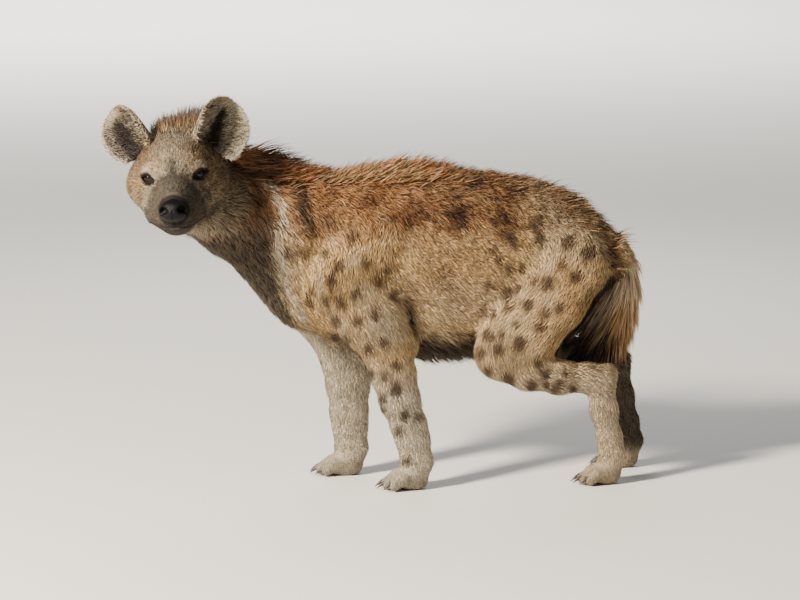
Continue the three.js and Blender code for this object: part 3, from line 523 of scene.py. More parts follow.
def with_eyes(d, q):
    """Adds the crease over each eye and the bag under it, and opens the lids."""
    for s in SIDES:
        a, b, ahead = eye_plane(q, s)
        crease = hump(b + 0.03 * a * a, 13.5, 1.6) * (np.abs(a) < 20) * (ahead > 0)
        bag = hump(b - 0.035 * a * a, -15.5, 1.8) * (np.abs(a) < 17) * (ahead > 0)
        hole = [opening(a, b), SOCKET - np.linalg.norm(q - EYE_AT[s], axis=1), -ahead]
        d = -melt(-(d + 1.6 * crease + 1.0 * bag), np.maximum.reduce(hole), 1.2)
    return d


def with_mouth(d, q):
    """Adds the line of the mouth, its swollen lips, and the groove under the nose."""
    angle = np.degrees(np.arctan2(np.abs(q[:, 1]), q[:, 0] - 12))
    line = MOUTH_FRONT + (MOUTH_CORNER - MOUTH_FRONT) * np.minimum(angle / 84, 1.2) ** 2.2
    lips = (angle < 86) * (q[:, 0] > -5) * (1 - 0.6 * smooth(angle, 50, 80))
    d = d + 3.0 * lips * hump(q[:, 2], line, 2.0)
    d = d - 1.1 * lips * hump(np.abs(q[:, 2] - line), 5.5, 2.6)
    groove = (q[:, 0] > 80) * (q[:, 2] < -66) * (q[:, 2] > -93)
    return d + 1.6 * groove * hump(q[:, 1], 0, 1.7)


def with_folds(d, q):
    """Adds the fold of each cheek, down behind the corner of the mouth, and the two lines of the frown."""
    f, side, u = q[:, 0], np.abs(q[:, 1]), q[:, 2]
    fold = (f - 14) * 0.55 + (u + 30) * 0.84
    d = d + 0.8 * hump(fold, 0, 4.5) * smooth(side, 34, 44) * smooth(-u, 14, 34)
    frown = hump(side, 9, 2.4) * smooth(u, 2, 12) * fade(u, 26, 40)
    return d + 0.9 * frown * (f > -25)


def fine_field(p):
    """The skin with the fine parts of the face."""
    d = skin_field(p)
    q = to_head(p)
    close = np.linalg.norm(q - FACE_MIDDLE, axis=1) < FACE_REACH
    if close.any():
        k = q[close]
        d[close] = with_folds(with_mouth(with_eyes(lid_field(p[close]), k), k), k)
    return d


# %% Split the head and the paws finer
PAW_TOP = 62
MUZZLE_MIDDLE, MUZZLE_REACH, FACE_BACK = (30, 0, -40), 108, -22


def split_faces(mesh, share):
    """Splits into four the faces whose middles are picked by share."""
    work = bmesh.new()
    work.from_mesh(mesh)
    work.faces.ensure_lookup_table()
    middles = np.array([f.calc_center_median() for f in work.faces]) / MM - SHIFT
    picked = np.flatnonzero(share(middles))
    edges = {e for i in picked for e in work.faces[i].edges}
    bmesh.ops.subdivide_edges(work, edges=list(edges), cuts=1, use_grid_fill=True)
    work.to_mesh(mesh)
    work.free()


def rows_of(items, key, width, kind=np.float32):
    """One property of all the points, corners or triangles of a mesh, as rows of numbers."""
    flat = np.empty(len(items) * width, kind)
    items.foreach_get(key, flat)
    return flat.reshape(-1, width)


def mesh_points(mesh):
    """A mesh's points in the body's millimetres."""
    return rows_of(mesh.vertices, "co", 3).astype(float) / MM - SHIFT


def set_points(mesh, p):
    mesh.vertices.foreach_set("co", ((p + SHIFT) * MM).astype(np.float32).ravel())
    mesh.update()


def new_mesh(name, points, faces):
    """A mesh from points in the body's millimetres and from faces."""
    mesh = bpy.data.meshes.new(name)
    mesh.from_pydata(((np.asarray(points) + SHIFT) * MM).tolist(), [], [list(map(int, f)) for f in faces])
    mesh.polygons.foreach_set("use_smooth", [True] * len(mesh.polygons))
    return mesh


def triangles_in(mesh):
    return sum(len(f.vertices) - 2 for f in mesh.polygons)


def on_face(p):
    q = to_head(p)
    return (np.linalg.norm(q - MUZZLE_MIDDLE, axis=1) < MUZZLE_REACH) & (q[:, 0] > FACE_BACK)


skin_mesh = new_mesh("skin", net_points, net_faces)
split_faces(skin_mesh, lambda p: (head_share(p) > 0.5) | (p[:, 2] < PAW_TOP))
set_points(skin_mesh, settle(skin_field, mesh_points(skin_mesh), 2))
split_faces(skin_mesh, on_face)
skin_points = settle(fine_field, mesh_points(skin_mesh), 3, 1.5)
skin_points[:, 2] = np.maximum(skin_points[:, 2], 0)
set_points(skin_mesh, skin_points)
print("skin", len(skin_mesh.vertices), "points,", triangles_in(skin_mesh), "triangles")

# %% [markdown]
# ## Ears
# A hyena's ears are broad round cups. Each is a sheet rolled round its own axis, wide open at the tip and
# rolled up at the root, with an inner and an outer face joined round the rim.

# %% Ear shells
EAR_ROOT, EAR_AXIS, EAR_OPEN = (-84, 54, 50), (-0.1, 0.7, 0.7), math.radians(32)
EAR_LENGTH, EAR_WIDTH, EAR_WIDEST = 112, 60, 0.58
ROOT_CURL, TIP_CURL = 112, 42  # how far round each half is rolled, in degrees
INNER_WALL, OUTER_WALL = 1.0, 4.0
OUTER_HALF = {-1: (0.82, 0.0), 1: (1.0, 0.3)}  # how wide each outer half is, and how far its lobe hangs


def ear_frame(s):
    """An ear's root, and the ways to its tip, out of its cup and across it."""
    axis = unit(np.array([EAR_AXIS[0], s * EAR_AXIS[1], EAR_AXIS[2]]))
    way = np.array([math.cos(EAR_OPEN), s * math.sin(EAR_OPEN), 0])
    way = unit(way - axis * (way @ axis))
    return np.array([EAR_ROOT[0], s * EAR_ROOT[1], EAR_ROOT[2]]), axis, way, np.cross(axis, way)


def ear_point(s, a, v, wall):
    """A point of the cup: a from -1 to 1 across, v from 0 at the root to 1 at the tip."""
    base, axis, way, across = ear_frame(s)
    v = v + 0.13 * (1 - v) ** 2 * smooth(s * a, 0.3, 1.0)  # the lobe ends a little above the root
    curl = np.radians(ROOT_CURL + (TIP_CURL - ROOT_CURL) * v ** 0.8)
    rising = EAR_WIDTH * (0.5 + 0.5 * np.sin(np.minimum(v / EAR_WIDEST, 1) * np.pi / 2))
    round_top = EAR_WIDTH * np.sqrt(np.maximum(0.03, 1 - ((v - EAR_WIDEST) / 0.43) ** 2))
    radius = np.where(v < EAR_WIDEST, rising, round_top) / np.sin(np.minimum(curl, np.pi / 2))
    angle = a * curl
    out = radius - (radius + wall) * np.cos(angle) - 8 * v * v
    outer, lobe = OUTER_HALF[s]
    outer = outer * (1 + lobe * hump(v, 0.15, 0.22))
    aside = (radius + wall) * np.sin(angle) * np.where(s * a > 0, outer, 1)
    local = base + EAR_LENGTH * v[..., None] * axis + out[..., None] * way + aside[..., None] * across
    return from_head(local)


def ear_shell(s, columns=30, rows=26):
    """One ear: its points, its faces and its points' ear codes, which the next cell explains."""
    a, v = np.meshgrid(np.linspace(-1, 1, columns + 1), 1 - (1 - np.linspace(0, 1, rows + 1)) ** 1.5)
    walls = np.full_like(v, INNER_WALL), OUTER_WALL * (1 - 0.45 * v)
    points = np.concatenate([ear_point(s, a * 0.985, v * 0.99, wall).reshape(-1, 3) for wall in walls])
    size = a.size
    at = np.arange(2 * size).reshape(2, rows + 1, columns + 1)
    faces = []
    for j, i in np.ndindex(rows, columns):
        quad = [at[0, j, i], at[0, j, i + 1], at[0, j + 1, i + 1], at[0, j + 1, i]]
        faces += [quad, [size + k for k in reversed(quad)]]
    rim = [(0, i) for i in range(columns)] + [(j, columns) for j in range(rows)]
    rim += [(rows, columns - i) for i in range(columns)] + [(rows - j, 0) for j in range(rows)]
    for here, there in zip(rim, rim[1:] + rim[:1]):
        faces.append([at[(0, *there)], at[(0, *here)], at[(1, *here)], at[(1, *there)]])
    face_of = np.repeat([s * 1.0, s * 2.0], size)
    return points, faces, np.column_stack([face_of, np.tile(s * a.ravel(), 2), np.tile(v.ravel(), 2)])


def outward(points, faces):
    """Turns the faces round if the shape is inside out."""
    tris = np.array([(f[0], f[k], f[k + 1]) for f in faces for k in range(1, len(f) - 1)])
    a, b, c = points[tris[:, 0]], points[tris[:, 1]], points[tris[:, 2]]
    volume = (a * np.cross(b, c)).sum()
    return faces if volume > 0 else [list(reversed(f)) for f in faces]


# %% Join the ears to the skin
# Each point has an ear code of three numbers. The first is 0 on the body, 1 in an ear and 2 on its back,
# with the side's sign. The second is how far across it is, from -1 at the inner edge to 1, and the third
# is how far up it is.
all_points = [mesh_points(skin_mesh)]
all_faces = outward(all_points[0], [list(f.vertices) for f in skin_mesh.polygons])
ear_codes = [np.zeros((len(skin_mesh.vertices), 3))]
for s in SIDES:
    points, faces, codes = ear_shell(s)
    start = sum(len(p) for p in all_points)
    all_faces += [[start + k for k in f] for f in outward(points - points.mean(0), faces)]
    all_points.append(points)
    ear_codes.append(codes)
ear_codes = np.concatenate(ear_codes)
skin_mesh = new_mesh("skin", np.concatenate(all_points), all_faces)
skin = in_scene("skin", skin_mesh)
print("with ears", len(skin_mesh.vertices), "points")

# %% [markdown]
# ## Unwrapping the skin
# The skin gets a UV map, for baking the coat's colours. It is laid flat in islands by its own shape, and
# each tuft later gets a small patch at the place of its root.

# %% Unwrap
bpy.context.view_layer.objects.active = skin
skin.select_set(True)
bpy.ops.object.mode_set(mode="EDIT")
bpy.ops.mesh.select_all(action="SELECT")
bpy.ops.uv.smart_project(angle_limit=math.radians(66), island_margin=0.001)
bpy.ops.object.mode_set(mode="OBJECT")
skin_mesh.uv_layers[0].name = "OFBake"
print("unwrapped", skin_mesh.uv_layers[0].name)

# %% [markdown]
# ## Markings
# The coat is buff with brown spots, a red-brown saddle, a dark nape, muzzle and tail brush, and paler legs
# and cheeks. Four shares say how much of each there is at a point, and the skin and every tuft read the
# same shares, so a spot runs through both. The dark share also carries painted shade: on the neck and
# throat under the head, behind the elbow, under the belly, inside the legs, behind the thighs, on the left
# cheek and in the ears, and the pale band beside the neck is partly painted sunlight. An image could carry
# them too, but shares that are worked out at each point need no picture and have no seams. The left side's
# spots stand where the photo shows them, and the right side repeats them. Soft noise keeps every edge
# uneven.

# %% Scatter and shares
def shaken(cells, seed):
    """Three numbers from 0 to 1 for each cell of a grid, always the same."""
    h = (cells[..., 0] * 73856093) ^ (cells[..., 1] * 19349663) ^ (cells[..., 2] * 83492791) ^ seed
    out = []
    for _ in range(3):
        h = (h * 1103515245 + 12345) & 0x7FFFFFFF
        out.append((h >> 8) % 10007 / 10007)
    return np.stack(out, -1)


def nearest_dot(p, size, seed):
    """The way to the nearest of the dots scattered one to a cell, and that dot's own number."""
    base = np.floor(p / size).astype(np.int64)
    best = np.full(len(p), 1e9)
    way, number = np.zeros_like(p), np.zeros(len(p))
    for step in np.ndindex(3, 3, 3):
        cell = base + np.array(step) - 1
        r = shaken(cell, seed)
        to = (cell + 0.15 + 0.7 * r) * size - p
        far = (to * to).sum(1)
        closer = far < best
        best = np.where(closer, far, best)
        way = np.where(closer[:, None], to, way)
        number = np.where(closer, r[:, 0], number)
    return way, number


def ripple(p, size, seed):
    """Soft noise from -1 to 1 with humps about size across."""
    rng = np.random.default_rng(seed)
    total = 0
    for _ in range(6):
        way = unit(rng.normal(size=3)) * 2 * np.pi / size * rng.uniform(0.6, 1.5)
        total = total + np.sin(p @ way + rng.uniform(0, 6.28))
    return total / 2.9


def leg_share(p):
    legs = np.stack([f(p) for f in LEG_FORMS]).min(0)
    share = smooth(TORSO(p) - legs, -10, 45)
    return np.maximum(share, fade(p[:, 2], 250, 285))


# %% Spots
# Each spot of the left side, by where its middle shows in the photo and by its radius, in the photo's
# pixels.
SHOULDER_SPOTS = [
    (323, 216, 4.5), (308, 225, 4.5), (300, 248, 5), (284, 250, 4.5), (350, 231, 5), (323, 250, 4),
    (338, 263, 5), (331, 278, 6), (311, 286, 3.5), (306, 297, 5), (325, 296, 4.5), (341, 300, 4.5),
    (356, 291, 5), (377, 280, 4.5), (366, 260, 4), (334, 318, 5), (357, 318, 5), (374, 312, 5),
    (330, 334, 4), (344, 337, 4), (383, 340, 4.5), (367, 347, 4.5), (390, 293, 4),
]
FORELEG_SPOTS = [
    (369, 372, 4.5), (385, 374, 4.5), (396, 364, 4), (395, 387, 5.5), (382, 396, 4), (381, 407, 3),
    (404, 414, 4.5), (399, 430, 4), (407, 460, 4), (417, 416, 4), (352, 363, 3.5),
]
HAUNCH_SPOTS = [
    (506, 235, 6), (531, 223, 6.5), (537, 237, 5.5), (569, 240, 6.5), (589, 251, 6.5), (608, 248, 5.5),
    (563, 262, 5), (578, 275, 5.5), (550, 281, 6), (536, 278, 4), (506, 292, 6.5), (516, 288, 4.5),
    (518, 266, 4.5), (505, 267, 3.5), (530, 303, 5), (512, 305, 4), (547, 311, 4.5), (562, 306, 4.5),
    (493, 311, 4), (481, 311, 4), (518, 321, 3.5), (542, 325, 4.5), (489, 333, 5.5), (502, 332, 3),
    (470, 332, 4), (522, 341, 6.5), (498, 347, 5.5), (481, 351, 4.5), (489, 247, 4), (495, 259, 3.5),
    (484, 284, 4), (510, 242, 4),
]
HINDLEG_SPOTS = [
    (538, 361, 4), (487, 369, 4), (507, 378, 5.5), (544, 374, 4.5), (529, 384, 4.5), (556, 384, 4.5),
    (544, 384, 3), (570, 390, 3.5), (552, 389, 3.5), (563, 373, 2.5),
]
SPOTS = SHOULDER_SPOTS + FORELEG_SPOTS + HAUNCH_SPOTS + HINDLEG_SPOTS
FORELEG_LEAD, HINDLEG_LAG = 95.0, -74.0  # how far the right legs stand ahead of the left ones, in mm


def spot_share(p):
    """Where the brown spots are. The right side has the left side's spots, moved with its legs."""
    other = p * (1, -1, 1) + (16, 0, -9)
    step = np.where(p[:, 0] < 100, FORELEG_LEAD, HINDLEG_LAG)
    other[:, 0] += step * fade(p[:, 2], 300, 350)
    across, down = on_photo(np.where(p[:, 1:2] < 6, p, other))
    shake = 1.1 * ripple(p, 13, 17)
    edge = np.full(len(p), 9.0)
    for x, y, radius in SPOTS:
        edge = np.minimum(edge, np.hypot(across - x, (down - y) * 0.85) - 1.12 * radius - 0.3)
    return fade(edge + shake, -2.8, 2.6)


print(len(SPOTS), "spots on each side")

# %% Shares on the head
def eye_margin(q):
    """How far points in the head's axes are outside the nearer eye's almond."""
    least = np.full(len(q), 99.0)
    for s in SIDES:
        a, b, ahead = eye_plane(q, s)
        least = np.where((ahead > -4) & (np.abs(a) < 60), np.minimum(least, opening(a, b)), least)
    return least


def from_pair(q, f, l, u, weights=1.0):
    """How far points on the head are from the nearer of two places, one on each side."""
    return np.minimum(*[np.linalg.norm((q - (f, s * l, u)) * weights, axis=1) for s in SIDES])


def head_shares(q):
    """Red-brown, dark and pale on the head, in its own axes, with painted shade on the left cheek."""
    f, l, u = q.T
    side = np.abs(l)
    crown = smooth(u, 40, 78) * fade(f, -66, -30) * fade(side, 34, 62)
    temple = smooth(side, 34, 66) * smooth(u, -40, 20)
    red = 0.08 + 0.5 * crown + 0.3 * temple
    bridge = hump(l, 0, 19 + 0.5 * np.maximum(0, -u - 12)) * smooth(f, 8, 34)
    by_nose = fade(np.linalg.norm((q - NOSE_AT) * (0.6, 1, 1), axis=1), 30, 50)
    muzzle = smooth(f + 6 * ripple(q, 18, 6), 14, 58)
    lips = smooth(f, 26, 54) * smooth(-u, 68, 84)
    tear_line = fade(from_pair(q, 14, 29, -5, (1, 0.8, 1.2)), 7, 17)
    brow = fade(from_pair(q, 8, 32, 15, (0.7, 1, 0.8)), 5, 13)
    lids = fade(eye_margin(q), 3.2, 7.0)
    jaw = hump(f, -40, 36) * smooth(-u, 46, 84)
    between = hump(l, 0, 30) * smooth(f, -40, 10)
    # A dark share over the whole head, with painted shade on the lower left side of the head.
    head_dark_and_cheek_shade = 0.31 + 0.2 * smooth(l, 48, 80) * smooth(-u, -10, 20)
    dark = np.maximum.reduce([
        0.86 * bridge, by_nose, 0.92 * lips, 0.84 * muzzle, 0.94 * tear_line, 0.6 * brow, lids,
        0.8 * jaw, 0.36 * between, head_dark_and_cheek_shade])
    above_eye = fade(from_pair(q, 8, 43, 17, 1 / np.array([1.2, 2.2, 1.1])), 6, 15)
    below_eye = fade(from_pair(q, 14, 52, -25, 1 / np.array([1, 1.5, 1])), 8, 24)
    dark = dark * (1 - 0.7 * above_eye * smooth(eye_margin(q), 3, 6))
    pale = np.maximum.reduce([
        0.5 * above_eye, 0.4 * below_eye, 0.9 * bridge, 0.6 * lips, 0.6 * smooth(f, 10, 40),
        0.35 * smooth(-u, 20, 80), 0.4 * hump(l, 0, 42) * (1 - crown)])
    return red, dark, pale


# %% Shares on the body
# The pale band between the neck and the shoulder, by how far across the photo it is at each height. It is
# partly the coat's own and partly painted sunlight, and the painted shade on the neck ends at it.
BAND_DOWN = [174, 184, 199, 218, 244, 265, 283, 303, 322]
BAND_ACROSS = [256, 264, 274, 278, 275, 278, 284, 293, 300]
ELBOW_AT, ELBOW_REACH = (-60, -120, 372), 52


def ridge_at(x):
    """How far the spine's ridge is to the side, where the neck bends."""
    return -40 * np.maximum(0, (-250 - x) / 180) ** 1.6


def behind_thigh(x, z):
    """How far behind the front edge of the thighs, which slopes back as it rises."""
    return x - 0.55 * (z - 330)


def red_of(p, leg, wave, wisp):
    """The red-brown of the back and the neck, which runs out into gold on the flank."""
    x, z = p[:, 0], p[:, 2]
    back = smooth(z + 20 * wave + 10 * wisp, 500, 610) * (1 - 0.6 * smooth(x, 190, 320))
    gold = 0.3 * smooth(z, 360, 470) * smooth(x, -10, 40) * fade(x, 170, 260)
    neck = smooth(-x, 190, 240) * smooth(z, 520, 640) * 0.4
    return np.maximum(np.maximum(back * 0.85, gold) * (1 - 0.55 * leg) + 0.1 * wave, neck)


def dark_of(p, leg, body, wave, wisp, past_band):
    """The nape, streaks on the back and smudges, and painted shade: on the neck and throat under the head,
    behind the elbow, under the belly, inside the legs and behind the thighs.
    """
    x, y, z = p.T
    across, down = on_photo(p)
    aside = np.abs(y)
    nape = smooth(-x, 240, 280) * smooth(z, 625, 680) * hump(y, ridge_at(x), 80)
    stripe = hump(across - 0.32 * (down - 205), 297, 8) * smooth(down, 160, 175)
    stripe = stripe * fade(down, 215, 245) * (y < 30)
    # Painted shade on the neck and throat, where the head's shadow falls, out to the pale band.
    shade = (0.64 + 0.22 * smooth(down, 218, 246)) * smooth(down, 150, 190) * fade(past_band, -13, -2)
    shade = shade * fade(y + 12 * wave, -25, 62)
    # Painted shade behind the elbow, between the foreleg and the trunk.
    painted_elbow_shade = hump(across - 0.16 * (down - 300), 406, 5) * smooth(down, 280, 310) * (leg < 0.55)
    streak = smooth(wisp + 0.5 * wave, -0.3, 0.9) * smooth(z + 16 * wave, 530, 600)
    streak = streak * smooth(x, -90, 60) * (1 - 0.62 * smooth(x, 230, 330))
    saddle = smooth(z, 540, 620) * smooth(x, 0, 90) * (1 - 0.5 * smooth(x, 230, 330))
    smudge = smooth(wave - 0.4 * wisp, 0.3, 1.1) * smooth(z, 330, 420)
    # Painted shade under the belly.
    belly = fade(z + 6 * wisp, 312, 352) * (1 - leg) * smooth(x, -80, 0)
    # Painted shade behind the thighs and in the gap between the thighs and the tail, which the long hair
    # behind the right thigh fills.
    shade_behind_thighs = smooth(behind_thigh(x, z) + 36 * smooth(-y, -20, 20), 362, 390)
    thigh = shade_behind_thighs * fade(z, 430, 480) * smooth(z, 255, 290) * fade(aside, 78, 98)
    # Painted shade on the inner faces of the legs, darker low on the hind legs.
    inner = fade(aside, 30, 62) * fade(z, 330, 420) * smooth(z, 200, 260)
    painted_hind_leg_shade = fade(aside, 70, 96) * (x > 150) * fade(z, 300, 400) * smooth(z, 20, 60)
    return np.maximum.reduce([
        0.92 * nape, 0.85 * stripe, shade * body, 0.85 * painted_elbow_shade, 0.75 * streak, 0.26 * saddle,
        0.3 * smudge, 0.9 * belly, 0.95 * thigh, 0.5 * inner, 0.8 * painted_hind_leg_shade, 0.3 * fade(z, 20, 60)])


def pale_of(p, leg, wave, past_band):
    """The band beside the neck, partly the coat's own and partly painted sunlight at the edge of the painted
    shade, the elbow, the throat, the lower legs, the low flank and the croup.
    """
    x, y, z = p.T
    down = on_photo(p)[1]
    # The band is partly the coat's pale band and partly painted sunlight at the edge of the head's shadow.
    band = fade(np.abs(past_band), 1, 6) * smooth(down, 170, 185) * fade(down, 312, 330) * (y < 40)
    elbow = np.exp(-((p - ELBOW_AT) ** 2).sum(1) / ELBOW_REACH ** 2)
    shank = leg * fade(z, 190, 330) * np.where(x < 150, 0.85, 0.55)
    far_leg = leg * smooth(y, 20, 40) * fade(y, 84, 108) * (x < 100)
    throat = smooth(-x, 200, 300) * fade(z, 540, 640)
    low_flank = smooth(x, -40, 60) * fade(x, 260, 340) * fade(z, 410, 500)
    croup = smooth(x, 220, 320) * smooth(z, 460, 520)
    return np.maximum.reduce([
        0.85 * band, 0.8 * elbow, shank, 0.8 * far_leg, 0.45 * throat, 0.2 * low_flank, 0.26 * croup,
        0.3 * smooth(-wave, 0.1, 1) * leg])


# %% Shares on the ears, and all of them together
def ear_shares(ear, wisp):
    """A dark hollow painted as shade, a pale outer flap and a furred inner edge. The right ear's inner face
    is darkened as painted shade, and its hollow is wider and softer.
    """
    out, up = ear[:, 1], ear[:, 2]
    right = 1.0 * (ear[:, 0] < 0)
    # The hollow of the cup is darkened as painted shade.
    hollow_shade_at = 0.2 - 0.4 * up + 0.26 * right + 0.04 * wisp
    hollow = hump(out, hollow_shade_at, 0.17 - 0.03 * up + 0.1 * right) * fade(up, 0.62, 0.9)
    furry = fade(out - hollow_shade_at, -0.4, -0.12)
    rim = smooth(np.maximum(np.abs(out), up * 1.02), 0.8, 0.97)
    hollow = np.clip((1.35 - 0.85 * right) * hollow * (1 - 0.7 * rim), 0, 1)
    # Painted shade over the right ear's inner face, less at its rim.
    grey = 0.08 + 0.6 * right * (1 - 0.75 * rim)
    dark = np.clip(grey + hollow, 0, 0.98)
    return np.stack([0 * up, 0.1 + 0.25 * furry, dark, (0.7 - 0.3 * furry) * (1 - hollow)], 1)


EAR_BACK_SHARES = (0, 0.25, 0.25, 0.3)


def markings(p, ear):
    """Shares of spot, red-brown, dark and pale, for points and for where they are on an ear."""
    head, leg = head_share(p), leg_share(p)
    body = 1 - head
    wave, wisp = ripple(p, 70, 3), ripple(p * (0.45, 1, 1), 21, 4)
    across, down = on_photo(p)
    past_band = across - np.interp(down, BAND_DOWN, BAND_ACROSS) + 1.5 * wisp
    spot = spot_share(p) * body * (0.86 - 0.12 * smooth(p[:, 2], 520, 580))
    spot = spot * (1 - leg * fade(np.abs(p[:, 1]), 66, 92))
    shares = np.stack([
        spot, red_of(p, leg, wave, wisp), dark_of(p, leg, body, wave, wisp, past_band),
        pale_of(p, leg, wave, past_band)], 1) * body[:, None]
    shares[:, 1:] += np.stack(head_shares(to_head(p)), 1) * head[:, None]
    face = np.abs(ear[:, :1])
    shares = np.where(face == 1, ear_shares(ear, wisp), shares)
    return np.clip(np.where(face == 2, EAR_BACK_SHARES, shares), 0, 1)


def store(mesh, name, kind, field, values):
    """Keeps one value or row of values for each point of a mesh, for materials and Geometry Nodes."""
    made = mesh.attributes.new(name, kind, "POINT")
    made.data.foreach_set(field, np.ascontiguousarray(values, np.float32).ravel())


all_skin = mesh_points(skin_mesh)
marks = markings(all_skin, ear_codes)
store(skin_mesh, "marks", "FLOAT_COLOR", "color", marks)
print("mean shares of spot, red, dark, pale:", marks.mean(0).round(2))

# %% [markdown]
# ## Coat materials
# Hair is a thin, rough, slightly shiny thread, paler at the tip and darker at the root, where the dark is
# painted shade deep in the coat. Its colour here comes from the shares: buff, turned red-brown, pale,
# spotted and dark in that order. The skin under it has the same colours, darkened as painted shade
# between the tufts, and fine streaks of hair as bump.

# %% The coat's colours
# DARK is the colour of the dark hair and also of the painted shade that the dark share carries.
BUFF, RED_BROWN, PALE = "#c19f6d", "#8c5a32", "#cdc2ac"
SPOT, DARK = "#463226", "#1d1511"


def mixed(tree, share, first, second, mode="MIX"):
    """One colour turned to another by a share."""
    inputs = {0: share, 6: first, 7: second}
    return node(tree, "ShaderNodeMix", inputs, data_type="RGBA", blend_type=mode).outputs[2]


def coat_colour(tree):
    """The coat's colour from the shares on the mesh."""
    read = node(tree, "ShaderNodeAttribute", attribute_name="marks")
    part = node(tree, "ShaderNodeSeparateColor", {0: read.outputs["Color"]})
    tint = mixed(tree, part.outputs[1], colour(BUFF), colour(RED_BROWN))
    tint = mixed(tree, read.outputs["Alpha"], tint, colour(PALE))
    tint = mixed(tree, part.outputs[0], tint, colour(SPOT))
    return mixed(tree, part.outputs[2], tint, colour(DARK))


def darkened(tree, tint, level):
    """A colour times a grey level."""
    grey = node(tree, "ShaderNodeCombineColor", {i: level for i in range(3)})
    return mixed(tree, 1.0, tint, grey.outputs[0], "MULTIPLY")


def new_material(name):
    material = bpy.data.materials.new(name)
    material.use_nodes = True
    tree = material.node_tree
    return material, tree, tree.nodes["Principled BSDF"]


# %% Hair material
def hair_material(name, root, tip, rough):
    """Coarse hair: root and tip are how much of the coat's colour shows at the two ends of a hair. The dark
    root is painted shade deep in the coat.
    """
    material, tree, shader = new_material(name)
    tone = node(tree, "ShaderNodeAttribute", attribute_name="tone")
    along = node(tree, "ShaderNodeAttribute", attribute_name="along")
    shade = node(tree, "ShaderNodeMapRange", {0: along.outputs["Fac"], 2: 0.8, 3: root, 4: tip})
    light = node(tree, "ShaderNodeMapRange", {0: tone.outputs["Fac"], 3: 0.5, 4: 1.5})
    both = node(tree, "ShaderNodeMath", {0: shade.outputs[0], 1: light.outputs[0]}, operation="MULTIPLY")
    give(tree, shader, {
        "Base Color": darkened(tree, coat_colour(tree), both.outputs[0]), "Roughness": rough,
        "IOR": 1.5, "Specular IOR Level": 0.25})
    return material


short_hair = hair_material("short_coarse_hair", 0.4, 1.15, 0.62)
long_hair = hair_material("long_mane_hair", 0.38, 1.25, 0.55)

# %% Skin material
# The skin between the tufts is matt, and darkened with a grain as painted shade between them. Its streaks
# and bumps are the roots of the hair, drawn coarser than the real ones so that they show.
HAIR_ROOT = 1 / 0.7  # the width of a streak, in millimetres


def pattern(tree, kind, grain, extra=None):
    """A pattern on the object's own place, whose grains are so many millimetres across."""
    place = node(tree, "ShaderNodeTexCoord")
    inputs = {"Vector": place.outputs["Object"], "Scale": 1 / (grain * MM), **(extra or {})}
    return node(tree, kind, inputs)


def roughened(tree, height, strength):
    """The slope of the surface under bumps of that height."""
    bump = node(tree, "ShaderNodeBump", {"Height": height, "Distance": 0.8 * MM, "Strength": strength})
    return bump.outputs[0]


skin_material, tree, shader = new_material("haired_skin")
grain = pattern(tree, "ShaderNodeTexNoise", HAIR_ROOT, {"Detail": 3.0})
# The skin is darkened to between 0.35 and 0.75 of the coat's colour, as painted shade between the tufts.
shade = node(tree, "ShaderNodeMapRange", {0: grain.outputs[0], 3: 0.35, 4: 0.75})
give(tree, shader, {
    "Base Color": darkened(tree, coat_colour(tree), shade.outputs[0]), "Roughness": 0.8,
    "Normal": roughened(tree, grain.outputs[0], 0.5), "Specular IOR Level": 0.2})
skin_mesh.materials.append(skin_material)
print("materials", [m.name for m in bpy.data.materials])

# %% [markdown]
# ## The lie of the coat
# Hair grows from the nose back over the head, down the neck, along the trunk to the tail and down each
# leg. Each joint row already has a direction, so the lie at a point is that of the rows near it.

# %% Lie
def row_ways(p):
    """The mean direction of the rows near a point, weighed by how near they are."""
    total = np.zeros_like(p)
    rows = [(TRUNK_ROW, 1, 1.6), (NECK_ROW, -1, 1.3), (TAIL_ROW, 1, 1)]
    rows += [(leg["upper"] + leg["lower"], 1, 1.2) for leg in LEGS.values()]
    for row, sign, narrow in rows:
        j = np.array(row, float)
        for a, b in zip(j[:-1], j[1:]):
            e = b[:3] - a[:3]
            if not e.any():
                continue
            t = np.clip((p - a[:3]) @ e / (e @ e), 0, 1)
            off = (p - a[:3] - t[:, None] * e) * (1, narrow, 1)
            d = np.linalg.norm(off, axis=1) - a[3] - t * (b[3] - a[3])
            total += np.exp(-np.maximum(d, -40) / 16)[:, None] * unit(e) * sign
    return unit(total)


def ear_root_share(p):
    """1 on the head round the root of an ear."""
    f, l, u = EAR_ROOT
    return fade(from_pair(to_head(p), f + 8, l + 4, u + 6), 26, 46) * head_share(p)


def lie_of(p, n, ear):
    head, leg = head_share(p)[:, None], leg_share(p)[:, None]
    body = row_ways(p) + (0, 0, -0.55) * (1 - leg)
    q = to_head(p)
    face = unit(q - (112, 0, -46)) @ HEAD_AXES
    way = unit(body) * (1 - head) + face * head
    root = ear_root_share(p)[:, None]
    for s in SIDES:
        axis, across = ear_frame(s)[1] @ HEAD_AXES, ear_frame(s)[3] @ HEAD_AXES * s
        near_side = (q[:, 1:2] * s > 0) * root
        way = way * (1 - near_side) + (axis + 0.3 * unit(way)) * near_side
        on_ear = np.abs(ear[:, 0] - s * 1.5) < 0.6
        flap = fade(ear[:, 1:2], -0.6, -0.3) * (np.abs(ear[:, :1]) == 1)
        spread = np.clip(ear[:, 1:2] + 0.22, -0.9, 0.9) * (1 - flap) + 0.9 * flap
        way = np.where(on_ear[:, None], axis * 0.55 + across * spread, way)
    return unit(way - (way * n).sum(1, keepdims=True) * n)


RUMP_AT, RUMP_REACH = (436, 0, 516), np.array([44, 60, 42])


def rump_share(p):
    """1 over the root of the tail, where the hair of the rump runs out over it."""
    return np.exp(-((p - RUMP_AT) ** 2 / RUMP_REACH ** 2).sum(1))


